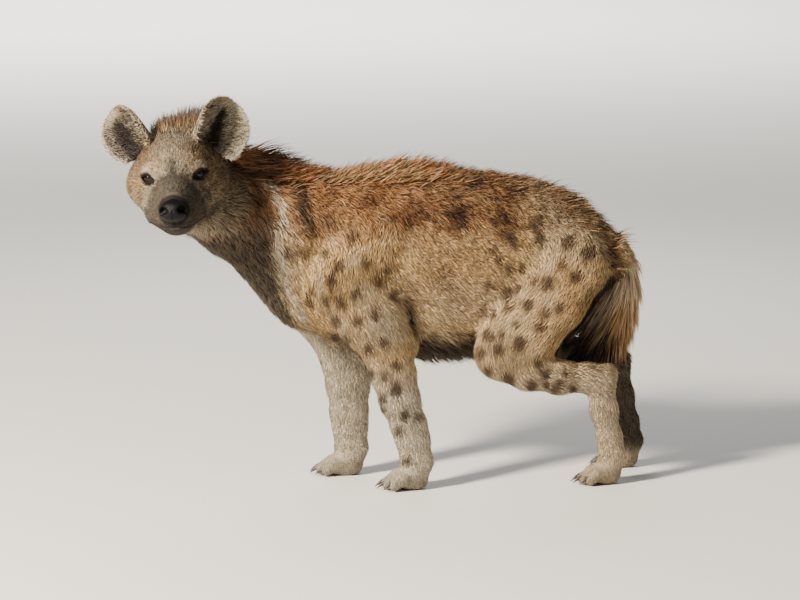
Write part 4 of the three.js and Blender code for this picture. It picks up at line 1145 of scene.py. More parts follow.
# %% How long the hair is
def body_length(x, z, leg, rump):
    """The hair of the trunk and neck: longest on the withers, the belly and over the tail's root."""
    long = 21 + 13 * smooth(z, 490, 620) + 5 * smooth(-x, 180, 260)
    long = long * (1 - 0.25 * smooth(x, 180, 300))
    return long + 30 * fade(z, 300, 350) * (1 - leg) * smooth(x, -90, 20) + 8 * rump


def leg_length(x, y, z):
    """The hair of the legs: shorter towards the paws, and long behind the right thigh, where its dark hair
    stands as painted shade between the thigh and the tail.
    """
    long = 20 - 6 * fade(z, 240, 400) - 3 * fade(z, 90, 200) - 3.5 * fade(z, 40, 70)
    shade_behind_thighs = smooth(behind_thigh(x, z), 335, 375) * smooth(z, 270, 310) * smooth(y, 10, 40)
    return long + 60 * shade_behind_thighs * fade(y, 88, 116)


def head_length(f, u, by_ear):
    """The hair of the head: shortest on the muzzle, longer on the crown, the jaw and round the ears."""
    long = 12.5 - 4.5 * smooth(f, -60, -10) - 3 * smooth(f, 10, 50)
    long = long + 8 * smooth(u, 40, 76) * fade(f, -70, -20) + 6 * smooth(-u, 62, 100) * fade(f, -20, 30)
    return long + 3 * by_ear


def hair_length(p, ear):
    x, y, z = p.T
    f, u = to_head(p)[:, 0], to_head(p)[:, 2]
    head, leg = head_share(p), leg_share(p)
    long = body_length(x, z, leg, rump_share(p)) * (1 - leg) + leg_length(x, y, z) * leg
    long = long * (1 - head) + head_length(f, u, ear_root_share(p)) * head
    face, up = np.abs(ear[:, 0]), ear[:, 2]
    rim = smooth(np.maximum(np.abs(ear[:, 1]), up * 1.02), 0.7, 0.95)
    flap = fade(ear[:, 1], -0.7, -0.3) * fade(up, 0.7, 0.95)
    in_ear = 9.5 + 2 * (1 - up) - 3 * rim + 8 * flap
    return np.where(face == 1, in_ear, np.where(face == 2, 8.0, long))


# %% [markdown]
# ## Where the tufts grow
# Roots are drawn evenly over the skin, closer where the hair is short. A draw that walks through the
# triangles in order, instead of a free one, leaves fewer gaps.

# %% Roots
ROOTS_SEED = 5
SOLE = 4.0  # no hair grows lower than this
skin_mesh.calc_loop_triangles()
tri_points = rows_of(skin_mesh.loop_triangles, "vertices", 3, np.int32)
tri_loops = rows_of(skin_mesh.loop_triangles, "loops", 3, np.int32)
normals = rows_of(skin_mesh.vertices, "normal", 3).astype(float)
uv = rows_of(skin_mesh.uv_layers["OFBake"].data, "uv", 2).astype(float)
corner = all_skin[tri_points]
tri_area = np.linalg.norm(np.cross(corner[:, 1] - corner[:, 0], corner[:, 2] - corner[:, 0]), axis=1) / 2
print("area of the skin", round(tri_area.sum() / 1e6, 2), "square metres in", len(tri_points), "triangles")


def draw_roots(spacing, seed):
    """Roots over the skin, about spacing apart, as places, slopes, ear codes and places on the unwrap."""
    rng = np.random.default_rng(seed)
    middle = corner.mean(1)
    apart = spacing(middle, ear_codes[tri_points].mean(1))
    weight = np.where(apart > 0, tri_area / np.maximum(apart, 0.1) ** 2, 0)
    weight = np.where(middle[:, 2] < SOLE, 0, weight)
    total = np.cumsum(weight)
    marks_at = np.arange(int(total[-1])) + rng.uniform(0, 1, int(total[-1]))
    tri = np.minimum(np.searchsorted(total, marks_at), len(tri_points) - 1)
    r, s = np.sqrt(rng.uniform(0, 1, len(tri))), rng.uniform(0, 1, len(tri))
    w = np.stack([1 - r, r * (1 - s), r * s], 1)[:, :, None]
    ear = (ear_codes[tri_points[tri]] * w).sum(1)
    ear[:, 0] = ear_codes[tri_points[tri, 0], 0]
    out = unit((normals[tri_points[tri]] * w).sum(1))
    return (corner[tri] * w).sum(1), out, ear, (uv[tri_loops[tri]] * w).sum(1)


def coat_spacing(p, ear):
    """How far apart the roots are, or 0 for the bare places: the lids and the nose."""
    q = to_head(p)
    head, leg = head_share(p), leg_share(p)
    apart = 3.6 * (1 - leg) + (3.5 - 0.8 * fade(p[:, 2], 180, 380)) * leg
    apart = apart * (1 - head) + (2.5 - 0.55 * smooth(q[:, 0], -60, 10)) * head
    bare = (eye_margin(q) < 2.2) | (q[:, 0] > 94 - 0.1 * (q[:, 2] + 58))
    apart = np.where(bare & (head > 0.5), 0, apart)
    return np.where(ear[:, 0] != 0, 2.3, apart)


root_at, root_out, root_ear, root_uv = draw_roots(coat_spacing, ROOTS_SEED)
print("tufts of the coat", len(root_at))

# %% [markdown]
# ## Growing the tufts with Geometry Nodes
# A tuft is a flat three-sided spike. The tree makes one, stands a copy of it on every root, turned the way
# the hair lies, scales it, and makes the copies real. Then it bends each along its length, and gives it a
# patch of the unwrap at its root. The roots come as bare points that carry all of this as attributes.

# %% The tuft tree
UV_PATCH = 0.003  # how wide a tuft's patch of the unwrap is
GIVEN = {"Sides": "Int", "Rings": "Int", "Fullness": "Float", "Patch": "Float", "Hair": "Material"}


def tuft_tree():
    tree = bpy.data.node_groups.new("grow_tufts", "GeometryNodeTree")
    face = tree.interface
    face.new_socket("Roots", in_out="INPUT", socket_type="NodeSocketGeometry")
    for name, kind in GIVEN.items():
        face.new_socket(name, in_out="INPUT", socket_type="NodeSocket" + kind)
    face.new_socket("Tufts", in_out="OUTPUT", socket_type="NodeSocketGeometry")
    given = node(tree, "NodeGroupInput").outputs

    def made(kind, inputs, **settings):
        return node(tree, kind, inputs, **settings).outputs[0]

    def read(name, kind="FLOAT_VECTOR"):
        return made("GeometryNodeInputNamedAttribute", {"Name": name}, data_type=kind)

    def keep(geometry, name, value, kind="FLOAT", domain="POINT"):
        inputs = {"Geometry": geometry, "Name": name, "Value": value}
        return made("GeometryNodeStoreNamedAttribute", inputs, data_type=kind, domain=domain)

    spike = made("GeometryNodeMeshCone", {
        "Vertices": given["Sides"], "Side Segments": given["Rings"],
        "Radius Top": 0.0, "Radius Bottom": 0.5, "Depth": 1.0}, fill_type="NGON")
    at = made("GeometryNodeInputPosition", {})
    height = node(tree, "ShaderNodeSeparateXYZ", {0: at}).outputs[2]
    fuller = made("ShaderNodeMath", {0: height, 1: given["Fullness"], 2: 1.0}, operation="MULTIPLY_ADD")
    factor = made("ShaderNodeCombineXYZ", {0: fuller, 1: fuller, 2: 1.0})
    widened = made("ShaderNodeVectorMath", {0: at, 1: factor}, operation="MULTIPLY")
    shaped = made("GeometryNodeSetPosition", {"Geometry": spike, "Position": widened})
    patch = made("ShaderNodeVectorMath", {0: at, "Scale": given["Patch"]}, operation="SCALE")
    turned = node(tree, "ShaderNodeSeparateXYZ", {0: patch}).outputs
    flat = made("ShaderNodeCombineXYZ", {0: turned[0], 1: turned[2]})
    one = keep(keep(shaped, "along", height), "patch", flat, "FLOAT_VECTOR")
    turn = made("FunctionNodeAxesToRotation", {0: read("way"), 1: read("out")},
                primary_axis="Z", secondary_axis="Y")
    stood = made("GeometryNodeInstanceOnPoints", {
        "Points": given["Roots"], "Instance": one, "Rotation": turn, "Scale": read("size")})
    real = made("GeometryNodeRealizeInstances", {0: stood})
    along = read("along", "FLOAT")
    square = made("ShaderNodeMath", {0: along, 1: along}, operation="MULTIPLY")
    shift = made("ShaderNodeVectorMath", {0: read("bend"), "Scale": square}, operation="SCALE")
    bent = made("GeometryNodeSetPosition", {"Geometry": real, "Offset": shift})
    placed = made("ShaderNodeVectorMath", {0: read("root_uv"), 1: read("patch")}, operation="ADD")
    mapped = keep(bent, "OFBake", placed, "FLOAT2", "CORNER")
    for name in ("way", "out", "size", "bend", "root_uv", "patch"):
        mapped = made("GeometryNodeRemoveAttribute", {"Geometry": mapped, "Name": name})
    soft = made("GeometryNodeSetShadeSmooth", {"Geometry": mapped})
    painted = made("GeometryNodeSetMaterial", {"Geometry": soft, "Material": given["Hair"]})
    node(tree, "NodeGroupOutput", {0: painted})
    return tree


GROW = tuft_tree()


def grow(name, at, out, way, bend, size, uv_at, shares, tone, hair, rings, fullness=1.2):
    """Grows one piece of three-sided tufts. Places and sizes are in millimetres."""
    points = bpy.data.meshes.new(name + "_roots")
    points.from_pydata(((at + SHIFT) * MM).tolist(), [], [])
    flat_uv = np.column_stack([uv_at, np.zeros(len(at))])
    vectors = {"way": way, "out": out, "bend": bend * MM, "size": size * MM, "root_uv": flat_uv}
    for key, rows in vectors.items():
        store(points, key, "FLOAT_VECTOR", "vector", rows)
    store(points, "marks", "FLOAT_COLOR", "color", shares)
    store(points, "tone", "FLOAT", "value", tone)
    source = in_scene(name + "_source", points)
    modifier = source.modifiers.new("grow", "NODES")
    modifier.node_group = GROW
    sockets = {s.name: s.identifier for s in GROW.interface.items_tree if s.in_out == "INPUT"}
    for key, value in zip(GIVEN, (3, rings, fullness, UV_PATCH, hair)):
        modifier[sockets[key]] = value
    view = bpy.context.evaluated_depsgraph_get()
    mesh = bpy.data.meshes.new_from_object(source.evaluated_get(view))
    bpy.data.objects.remove(source)
    mesh.name = name
    piece = in_scene(name, mesh)
    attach(piece, "root")
    print(name, len(at), "tufts,", triangles_in(mesh), "triangles")
    return piece


# %% [markdown]
# ## The short coat
# Each tuft leaves the skin at a low angle and curls back to it. Neighbours lean towards a shared point, as
# hair does when it hangs in clumps, most of all on the shaggy back.

# %% How the coat lies and curls
COAT_SEED = 8
FLOOR_GAP, ROOT_GAP = 0.6, 1.6  # how far over the floor the tips and the roots stay
rng = np.random.default_rng(COAT_SEED)
number = len(root_at)
head, leg = head_share(root_at), leg_share(root_at)
length = hair_length(root_at, root_ear) * rng.uniform(0.7, 1.25, number)
lie = lie_of(root_at, root_out, root_ear)
shag = smooth(length, 16, 30)
low = fade(root_at[:, 2], 300, 350) * (1 - leg)
turn = (rng.normal(0, 0.2, number) + 0.35 * ripple(root_at, 33, 9) * shag)[:, None]
lie = unit(lie + turn * np.cross(root_out, lie))
on_ear = root_ear[:, 0] != 0
lift = 0.3 + 0.12 * shag + 0.12 * head + 0.1 * on_ear + 0.2 * rump_share(root_at)
lift = (lift + rng.uniform(-0.08, 0.14, number))[:, None]
press = (0.25 + 0.25 * shag)[:, None]  # how far the tips bend back to the skin
clump, clump_number = nearest_dot(root_at, 15, 21)
clump -= (clump * root_out).sum(1, keepdims=True) * root_out
gather = clump * (0.08 + 0.62 * shag)[:, None]
hang = (0, 0, -1) * (length * (0.1 * shag + 0.25 * low))[:, None]
way = unit(lie + lift * root_out)
bend = gather - root_out * length[:, None] * lift * press + hang
width = 1.2 + 0.085 * length - shag * (0.3 + 0.03 * length)
size = np.stack([width, width * 0.45, length], 1)
sunk = root_at - root_out * (0.4 + 0.8 * shag)[:, None]
tip_height = (sunk + way * length[:, None] + bend)[:, 2]
kept = (tip_height > FLOOR_GAP) & (sunk[:, 2] > ROOT_GAP)
print("tufts over the floor", kept.sum())

# %% The coat's grizzle
# Some tufts are darker and some paler than the marking that they stand in, most of all on the head.
shares = markings(root_at, root_ear)
grizzle = rng.uniform(0, 1, number)
strong = 1 + 0.7 * head + 0.5 * on_ear
darker = (grizzle < 0.24 * strong) * rng.uniform(0.08, 0.42, number) * strong
paler = (grizzle > 1 - 0.24 * strong) * rng.uniform(0.1, 0.45, number) * strong
shares[:, 2] = np.clip(shares[:, 2] + darker, 0, 1)
shares[:, 3] = np.clip(shares[:, 3] + paler * (1 - shares[:, 0]) * (1 - 0.7 * shares[:, 1]), 0, 1)
tone = 0.5 + (0.17 + 0.1 * head) * rng.normal(size=number) + 0.42 * (clump_number - 0.5)
tone = np.clip(tone, 0, 1)
print("mean tone", tone.mean().round(2))

# %% Grow the coat, in pieces
NECK_END, SHOULDER_END, FLANK_END, FORELEGS_END = -215, -10, 215, 120
x = root_at[:, 0]
region = np.select([x < NECK_END, x < SHOULDER_END, x < FLANK_END], ["neck", "shoulder", "flank"], "haunch")
region = np.where(leg > 0.6, np.where(x < FORELEGS_END, "forelegs", "hindlegs"), region)
region = np.where(head > 0.5, "head", region)
region = np.where(on_ear, "ears", region)
SHAGGY = ("neck", "shoulder", "flank", "haunch")  # their tufts get one more ring, to bend
for part in sorted(set(region)):
    pick = kept & (region == part)
    given = [rows[pick] for rows in (sunk, root_out, way, bend, size, root_uv, shares, tone)]
    piece = grow(f"coat_{part}", *given, short_hair, 2 if part in SHAGGY else 1)

# %% [markdown]
# ## Mane, crown and tail brush
# The long hair stands along the spine, highest on the nape and over the withers, and the tail ends in a
# dark brush that sweeps forward between the hind legs. Its front locks are dark partly with the brush's own
# black and partly as painted shade between the tail and the thighs. Long locks get more rings, so that they
# bend.

# %% Helpers for long locks
def crossing(is_inside, low, high, rounds):
    """Halves a stretch until it finds how far out a row of points leaves the skin."""
    for _ in range(rounds):
        middle = (low + high) / 2
        inside = is_inside(middle)
        low, high = np.where(inside, middle, low), np.where(inside, high, middle)
    return low


near_skin = KDTree(len(all_skin))
for i, p in enumerate(all_skin):
    near_skin.insert(p, i)
near_skin.balance()
loop_of = np.zeros(len(all_skin), int)
loop_of[tri_points.ravel()] = tri_loops.ravel()


def nearest_uv(at):
    """The place on the unwrap of the skin's nearest corner."""
    return uv[loop_of[[near_skin.find(p)[1] for p in at]]]


def uneven(rng, share, spread, top=1.0):
    """A share that differs from lock to lock."""
    return np.clip(share + rng.normal(0, spread, len(share)), 0, top)


def lock_tone(rng, mean, spread, by_clump, tint):
    """How light each lock is. Locks of one clump are alike."""
    return np.clip(mean + spread * rng.normal(size=len(tint)) + by_clump * (tint - 0.5), 0, 1)


def grow_locks(name, rings, slot, at, out, way, bend, width, long, red, dark, pale, tone):
    """Grows one piece of long flat locks."""
    size = np.stack([width, width * 0.5, long], 1)
    shares = np.stack([np.zeros(len(at)), red, dark, pale], 1)
    piece = grow(name, at, out, way, bend, size, nearest_uv(at), shares, tone, long_hair, rings, 1.4)


print("long hair looks up", len(all_skin), "points of the skin")


# %% Mane
MANE_SEED, MANE_LOCKS = 12, 8200
MANE_FRONT, MANE_END = -436, 468


def mane():
    """Locks along the spine, longest on the nape and the withers."""
    rng = np.random.default_rng(MANE_SEED)
    number = MANE_LOCKS
    x = rng.uniform(MANE_FRONT, MANE_END, number)
    rump = smooth(x, 170, 300)
    y = ridge_at(x) + rng.normal(0, 17, number) * (1 + 0.9 * rump)
    height = crossing(lambda z: skin_field(np.stack([x, y, z], 1)) < 0,
                      np.full(number, 470.0), np.full(number, 900.0), 20)
    at = np.stack([x, y, height], 1)
    out = unit(slope(skin_field, at, 4))
    back = unit(np.array([1, 0, -0.15]) - out * out[:, :1])
    clump, tint = nearest_dot(at * (1, 1, 0.4), 18, 31)
    long = 30 + 66 * hump(x, -335, 110) + 34 * hump(x, -10, 110) + 14 * smooth(x, 280, 400)
    long = long * (0.5 + 0.45 * rng.uniform(size=number) + 0.3 * tint)
    long = long * (1 - 0.35 * smooth(np.abs(y - ridge_at(x)), 10 + 14 * rump, 36 + 40 * rump))
    stand = (0.85 - 0.4 * smooth(x, 60, 180))[:, None]
    way = unit(out * stand + back * rng.uniform(0.3, 0.85, (number, 1)) + rng.normal(0, 0.13, (number, 3)))
    bend = clump * 0.6 * (1, 1, 0) + back * long[:, None] * 0.34 - out * long[:, None] * 0.1
    red = np.clip(0.68 + 0.6 * (tint - 0.5) + 0.35 * hump(x, -330, 90) - 0.2 * rump, 0, 1)
    dark = 0.7 * hump(x, -325, 70) + 0.42 * smooth(x, 60, 150) + 0.3 * rump * (tint - 0.3)
    dark = uneven(rng, dark, 0.2, 0.95)
    pale = uneven(rng, np.full(number, -0.08), 0.22, 0.5)
    tone = lock_tone(rng, 0.53, 0.22, 0.4, tint)
    return at - out * 2, out, way, bend, 1.5 + 0.03 * long, long, red, dark, pale, tone


grow_locks("mane", 4, "coat", *mane())


# %% Crown
CROWN_SEED, CROWN_LOCKS = 6, 6800


def crown():
    """Hair that stands up between the ears and falls back, from rows laid over the top of the head."""
    rng = np.random.default_rng(CROWN_SEED)
    number = CROWN_LOCKS
    f, l = rng.uniform(-140, -38, number), rng.uniform(-46, 56, number)
    height = crossing(lambda u: skin_field(from_head(np.stack([f, l, u], 1))) < 0,
                      np.full(number, 20.0), np.full(number, 160.0), 18)
    at = from_head(np.stack([f, l, height], 1))
    out = unit(slope(skin_field, at, 4))
    back = unit(np.array([-1, 0, 0.1]) @ HEAD_AXES)
    clump, tint = nearest_dot(at, 13, 41)
    long = (8 + 33 * smooth(-f, 44, 112)) * rng.uniform(0.5, 1.3, number) * (1 + 0.6 * smooth(l, -6, 44))
    long = long * (1 - 0.4 * smooth(-l, 30, 46))
    stand = (0.4 + 0.45 * smooth(-f, 60, 110))[:, None]
    way = unit(out * stand + back * rng.uniform(0.45, 1.0, (number, 1)) + rng.normal(0, 0.24, (number, 3)))
    bend = clump * 0.3 + back * long[:, None] * 0.35
    behind = smooth(-f, 45, 100)
    red = uneven(rng, 0.1 + 0.7 * behind, 0.2)
    dark = uneven(rng, 0.3 + 0.26 * behind, 0.22, 0.9)
    pale = uneven(rng, 0.3 * (1 - behind), 0.14)
    tone = lock_tone(rng, 0.42, 0.18, 0.2, tint)
    return at - out * 2, out, way, bend, 1.15 + 0.012 * long, long, red, dark, pale, tone


grow_locks("crown_hair", 2, "coat", *crown())


# %% Tail brush
TAIL_SEED, TAIL_LOCKS = 14, 7000


def tail_brush():
    """Locks all round the tail, short at its root. Those in front sweep forward between the legs, and are
    dark partly with the brush's own black and partly as painted shade between the tail and the thighs.
    """
    rng = np.random.default_rng(TAIL_SEED)
    number = TAIL_LOCKS
    row = np.array(TAIL_ROW, float)
    t = np.sort(rng.uniform(0.04, 1.0, number) ** 0.85)
    i = np.minimum((t * (len(row) - 1)).astype(int), len(row) - 2)
    share = (t * (len(row) - 1) - i)[:, None]
    at, thick = np.split(row[i] * (1 - share) + row[i + 1] * share, [3], axis=1)
    along = unit(row[i + 1, :3] - row[i, :3])
    side, down = np.array([0, 1.0, 0]), np.array([0, 0, -1.0])
    forwards = unit(np.array([-1, 0, -0.6]))
    behind = unit(np.cross(along, side))
    behind = behind * np.sign(behind[:, :1] + 1e-9)
    turned = rng.uniform(0, 2 * np.pi, number)
    out = behind * np.cos(turned)[:, None] + side * np.sin(turned)[:, None]
    front = np.maximum(0, -np.cos(turned)) * smooth(t, 0.2, 0.42)
    at = at + out * (thick * 0.7)
    spread = rng.uniform(0.15, 0.5, number) * (0.3 + 0.7 * smooth(t, 0.05, 0.25))
    spread = spread + 0.12 * smooth(t, 0.35, 0.7)
    way = along * 0.8 + down * 0.5 * t[:, None] + out * spread[:, None] * (1, 1.7, 1)
    way = unit(way + forwards * (front * 1.6)[:, None])
    long = (34 + 88 * t + 165 * front * (1.1 - t)) * rng.uniform(0.6, 1.15, number)
    clump, tint = nearest_dot(at + out * 30, 20, 51)
    fall = unit(down + forwards * (front * 2.0)[:, None])
    bend = (fall - way) * long[:, None] * 0.45 + clump * 0.35
    red = uneven(rng, 0.22 + 0.5 * smooth(t, 0.35, 0.9), 0.22)
    # The front locks are dark, partly the brush's own black and partly painted shade between the tail and
    # the thighs.
    dark = uneven(rng, smooth(t, 0.58, 1.0) + 1.1 * front, 0.17)
    pale = uneven(rng, 0.5 * fade(t, 0.35, 0.8), 0.15)
    tone = lock_tone(rng, 0.66, 0.22, 0.4, tint)
    return at, out, way, bend, 1.6 + 0.014 * long, long, red, dark, pale, tone


grow_locks("tail_brush", 5, "tail_hair", *tail_brush())

# %% [markdown]
# ## Eyes
# The eye is a moist ball with a dark red-brown iris and a round pupil. The lids have a bare black rim.

# %% Eyeballs
EYE_STREAK = 1 / 0.9  # the width of a streak of the iris, in millimetres
wet_eye, tree, shader = new_material("wet_dark_eye")
off = node(tree, "ShaderNodeAttribute", attribute_name="off_axis").outputs["Fac"]
streaks = pattern(tree, "ShaderNodeTexNoise", EYE_STREAK)
iris = mixed(tree, streaks.outputs[0], colour("#120805"), colour("#2c160c"))
past_pupil = node(tree, "ShaderNodeMapRange", {0: off, 1: 15.0, 2: 18.0})
past_iris = node(tree, "ShaderNodeMapRange", {0: off, 1: 36.0, 2: 42.0})
tint = mixed(tree, past_pupil.outputs[0], colour("#020101"), iris)
give(tree, shader, {
    "Base Color": mixed(tree, past_iris.outputs[0], tint, colour("#0c0706")), "Roughness": 0.05,
    "IOR": 1.36, "Specular IOR Level": 0.4, "Coat Weight": 0.15, "Coat Roughness": 0.02})


def wall(rings, sides, looped=False):
    """The four-cornered faces from each ring of points to the next, and round to the first if looped."""
    return [[i * sides + k, i * sides + (k + 1) % sides,
             (i + 1) % rings * sides + (k + 1) % sides, (i + 1) % rings * sides + k]
            for i in range(rings if looped else rings - 1) for k in range(sides)]


def ball(centre, ahead, radius, columns=40, rows=28):
    """A ball whose pole looks ahead, and how far each point is off that way, in degrees."""
    side = unit(np.cross(ahead, (0, 0, 1.0)))
    up = np.cross(side, ahead)
    theta = np.linspace(0, np.pi, rows + 1)[1:-1]
    phi = np.linspace(0, 2 * np.pi, columns, endpoint=False)
    t, f = [np.concatenate([[0], a.ravel(), [0]]) for a in np.meshgrid(theta, phi, indexing="ij")]
    t[-1] = np.pi
    bulge = radius + 0.5 * np.exp(-(np.degrees(t) / 30) ** 2)
    round_it = np.cos(f)[:, None] * side + np.sin(f)[:, None] * up
    points = centre + bulge[:, None] * (np.cos(t)[:, None] * ahead + np.sin(t)[:, None] * round_it)
    faces, last = [], len(points) - 1
    for i in range(columns):
        j = (i + 1) % columns
        faces += [[0, 1 + i, 1 + j], [last, last - columns + j, last - columns + i]]
        for a in range(1, 1 + (rows - 2) * columns, columns):
            faces.append([a + i, a + columns + i, a + columns + j, a + j])
    return points, outward(points - centre, faces), np.degrees(t)


def finished(name, points, faces, material, slot, *nodes):
    """A smooth piece that stands for nodes of the frame."""
    piece = in_scene(name, new_mesh(name, points, faces))
    piece.data.materials.append(material)
    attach(piece, "root")
    if nodes:
        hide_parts(*nodes)
    return piece


BALL_GAP = 0.4  # between the ball and the lids
for s, side in ((1, "left"), (-1, "right")):
    points, faces, angle = ball(EYE_AT[s], gaze(s), EYE_RADIUS - BALL_GAP)
    eyeball = finished(f"eyeball_{side}", from_head(points), faces, wet_eye, "eye", f"eye_{side}")
    store(eyeball.data, "off_axis", "FLOAT", "value", angle)
print("eyes at", [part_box(n)[0].to_tuple(3) for n in ("eye_left", "eye_right")])

# %% [markdown]
# ## Bare skin: the lid rims and the nose
# The rims are thin black lips round each eye. The nose pad is bare, pebbled and a little wet, with two
# nostrils that open forward and to the sides.

# %% Bare black skin
PEBBLE, WORN_PATCH, LID_WEAR = 1 / 0.52, 1 / 0.09, 1 / 0.3  # millimetres across
bare, tree, shader = new_material("bare_black_skin")
pebbles = pattern(tree, "ShaderNodeTexVoronoi", PEBBLE)
wear = pattern(tree, "ShaderNodeTexNoise", WORN_PATCH)
give(tree, shader, {
    "Base Color": mixed(tree, wear.outputs[0], colour("#050405"), colour("#100e0f")),
    "Normal": roughened(tree, pebbles.outputs["Distance"], 0.8), "Roughness": 0.42,
    "Specular IOR Level": 0.12})

# The lids' rims are the same skin without the pebbles, and drier. It also lines the nostrils as painted
# shade, a duller and darker copy of the nose's skin.
lid_and_nostril_shade_skin, tree, shader = new_material("dry_black_lid_and_nostril_shade_skin")
wear = pattern(tree, "ShaderNodeTexNoise", LID_WEAR)
give(tree, shader, {
    "Base Color": mixed(tree, wear.outputs[0], colour("#040303"), colour("#0d0a0a")),
    "Roughness": 0.55, "Specular IOR Level": 0.1})


# %% Lid rims
def tube(path, radii, sides=8):
    """A closed ring of tube round a looped path."""
    ahead = unit(np.roll(path, -1, 0) - np.roll(path, 1, 0))
    middle = path.mean(0)
    away = unit(path - middle - ((path - middle) * ahead).sum(1, keepdims=True) * ahead)
    up = np.cross(ahead, away)
    angle = np.linspace(0, 2 * np.pi, sides, endpoint=False)
    ring = away[:, None] * np.cos(angle)[None, :, None] + up[:, None] * np.sin(angle)[None, :, None]
    points = (path[:, None] + ring * radii[:, None, None]).reshape(-1, 3)
    return points, outward(points - middle, wall(len(path), sides, True))


def lid_rim(s):
    """The edge of the lids, laid on the skin round the eye."""
    t = np.linspace(0, 2 * np.pi, 64, endpoint=False)
    across, up, ahead = eye_axes(s)
    a = np.where(np.cos(t) > 0, LID_OUTER, LID_INNER) * np.cos(t)
    b = LID_HEIGHT * np.sin(t) * np.abs(np.sin(t))
    flat = EYE_AT[s] + a[:, None] * across + b[:, None] * up
    depth = crossing(lambda d: lid_field(from_head(flat + d[:, None] * ahead)) < 0,
                     np.full(len(t), -6.0), np.full(len(t), 26.0), 16)
    return tube(flat + (depth - 0.5)[:, None] * ahead, 1.2 + 0.5 * np.abs(np.cos(t)) ** 3)


for s, side in ((1, "left"), (-1, "right")):
    points, faces = lid_rim(s)
    finished(f"lid_rim_{side}", from_head(points), faces, lid_and_nostril_shade_skin, "nose")
print("lid rims", len(points), "points each")

# %% Nose pad
NOSE_MIDDLE, NOSE_REACH, NOSE_CELL = (108, 0, -58), 42, 1.3
NOSTRIL_ROW = [[128, 16, -53, 8.0], [109, 19, -54, 6.6], [107, 30, -62, 4.8]]
nostrils = melted([(chain([[f, s * l, u, r] for f, l, u, r in NOSTRIL_ROW], 1, 4), 1) for s in SIDES])


def nose_field(p):
    """The body in front of the nose's back plane, with the nostrils and the groove between them cut out."""
    q = to_head(p)
    d = -melt(-(WHOLE(p) + 0.2), nostrils(q), 3)
    d = d + 1.4 * hump(q[:, 1], 0, 1.3) * (q[:, 2] < -52)
    return -melt(-d, nose_plane(q), 4)


middle = from_head(NOSE_MIDDLE)
points, faces = surface_net(nose_field, middle - NOSE_REACH, middle + NOSE_REACH, NOSE_CELL)
points = settle(nose_field, points, 3, 1.0)
nose = finished("nose_pad", points, outward(points - points.mean(0), faces.tolist()), bare, "nose", "nose")
nose.data.materials.append(lid_and_nostril_shade_skin)
# The nostrils are lined, inside and round their edges, with the duller black skin, as painted shade.
nostril_shade = [float(nostrils(to_head(points[f].mean(0)[None]))[0]) < 2.0 for f in faces]
nose.data.polygons.foreach_set("material_index", np.array(nostril_shade, np.int32))
print("nose", len(points), "points")

# %% [markdown]
# ## Claws
# Blunt dark horn, a little curved: a hyena's claws don't draw in, so they wear down.

# %% Claws
HORN_LAYER = 1 / 0.4  # the width of a layer, in millimetres
CLAW_ROOT, CLAW_LENGTH, CLAW_HEIGHT, CLAW_RADIUS = 4, 21, 18, 4.4
horn, tree, shader = new_material("dark_horn")
layers = pattern(tree, "ShaderNodeTexNoise", HORN_LAYER, {"Detail": 2.0})
give(tree, shader, {
    "Base Color": mixed(tree, layers.outputs[0], colour("#1c1512"), colour("#4a3b2e")), "Roughness": 0.42})


def claw(paw, reach, spread, rings=9, sides=10):
    """A bent, tapering spike that starts inside the toe."""
    angle = math.radians(180 + paw["turn"])
    ahead = np.array([math.cos(angle), math.sin(angle), 0])
    left = np.array([-math.sin(angle), math.cos(angle), 0])
    k = paw["scale"]
    base = np.array([*paw["at"], 0]) + ahead * reach * k + left * spread * 1.1 * k
    t = np.repeat(np.linspace(0, 1, rings), sides)[:, None]
    a = np.tile(np.linspace(0, 2 * np.pi, sides, endpoint=False), rings)[:, None]
    radius = CLAW_RADIUS * (1 - t ** 2.2) + 0.5
    height = CLAW_HEIGHT - 2 * t - 11 * t * t + radius * np.cos(a)
    points = base + ahead * (CLAW_ROOT + CLAW_LENGTH * t) + left * radius * 0.72 * np.sin(a)
    points = points + (0, 0, 1) * height
    ends = [list(range(sides)), [(rings - 1) * sides + j for j in reversed(range(sides))]]
    return points, outward(points - points.mean(0), wall(rings, sides) + ends)


for leg in LEGS.values():
    points, faces = [], []
    for reach, spread in TOES:
        more, sides_of = claw(leg["paw"], reach, spread)
        faces += [[k + sum(len(p) for p in points) for k in f] for f in sides_of]
        points.append(more)
    name = leg["paw"]["name"]
    nodes = [f"claw_{name}_{i}" for i in range(1, 5)]
    finished(f"claws_{name}", np.concatenate(points), faces, horn, "claw", *nodes)
    print("claws of", name, len(faces), "faces")

# %% [markdown]
# ## The skin takes its place
# The one skin stands for every node of flesh, and for the tail's core.

# %% Skin
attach(skin, "root")
flesh = [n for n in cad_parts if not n.startswith(("claw", "eye", "nose"))]
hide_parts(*flesh)
print("the skin stands for", len(flesh), "nodes")

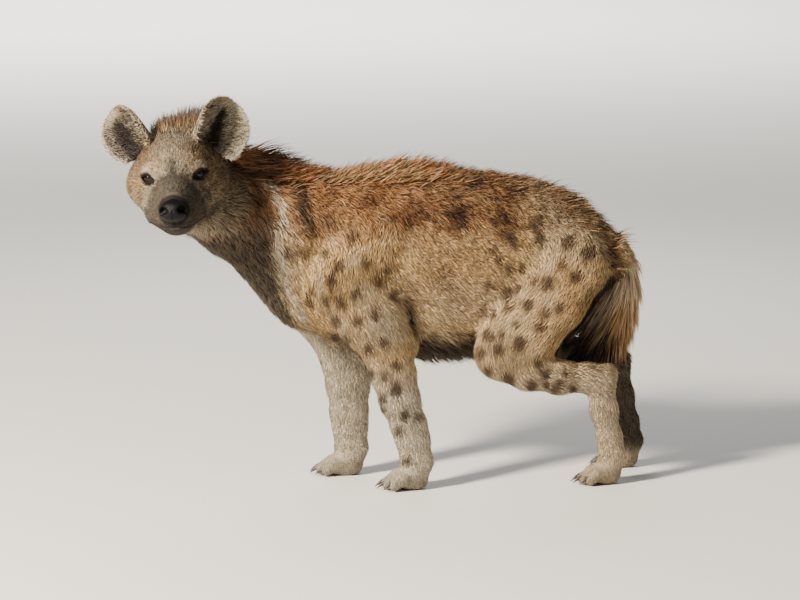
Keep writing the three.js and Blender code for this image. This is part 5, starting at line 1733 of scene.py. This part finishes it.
# %% [markdown]
# ## Floor, light and camera
# A pale floor and soft light from the upper left, as in a studio. The camera stands eight metres away with
# a long lens, a little above the animal's shoulder, as the photo was taken.

# %% Floor and light
FLOOR_HALF = 30
paint, tree, shader = new_material("pale_floor")
give(tree, shader, {"Base Color": colour("#e6e3dc"), "Roughness": 0.9})
floor_mesh = bpy.data.meshes.new("floor")
floor_corners = [(a * FLOOR_HALF, b * FLOOR_HALF, 0) for a, b in ((-1, -1), (1, -1), (1, 1), (-1, 1))]
floor_mesh.from_pydata(floor_corners, [], [(0, 1, 2, 3)])
floor_mesh.materials.append(paint)
in_scene("floor", floor_mesh)

world = bpy.data.worlds.new("studio")
world.use_nodes = True
give(world.node_tree, world.node_tree.nodes["Background"], {"Color": colour("#eef1f4"), "Strength": 0.25})
bpy.context.scene.world = world


def area_light(name, place, target, size, power, tint="#ffffff"):
    light = bpy.data.lights.new(name, "AREA")
    light.size, light.energy, light.color = size, power, colour(tint)[:3]
    made = in_scene(name, light)
    made.location = place
    made.rotation_euler = (Vector(target) - Vector(place)).to_track_quat("-Z", "Y").to_euler()


area_light("key", (-4.4, -3.05, 3.3), (0, 0, 0.5), 0.9, 1400, "#fff4e4")
area_light("fill", (3.0, -3.0, 1.6), (0, 0, 0.4), 3.0, 12)
area_light("rim", (0.5, 3.0, 2.6), (0, 0, 0.5), 2.0, 50)
area_light("backdrop", (0.0, 13.0, 6.0), (0, 15, 0), 8.0, 2200)

# %% Camera
AIM = Vector((SHIFT[0] * MM, SHIFT[1] * MM, AIM_HEIGHT * MM))
SENSOR = 36.0
lens = bpy.data.cameras.new("camera")
lens.sensor_width, lens.lens = SENSOR, SENSOR * FOCAL_PIXELS / WIDE
lens.clip_end = 100
camera = in_scene("camera", lens)
turned = Matrix((RIGHT, UP, BACK)).transposed().to_4x4()
camera.matrix_world = Matrix.Translation(AIM + Vector(BACK) * CAMERA_FAR * MM) @ turned
bpy.context.scene.camera = camera
print("lens", round(lens.lens, 1), "mm")
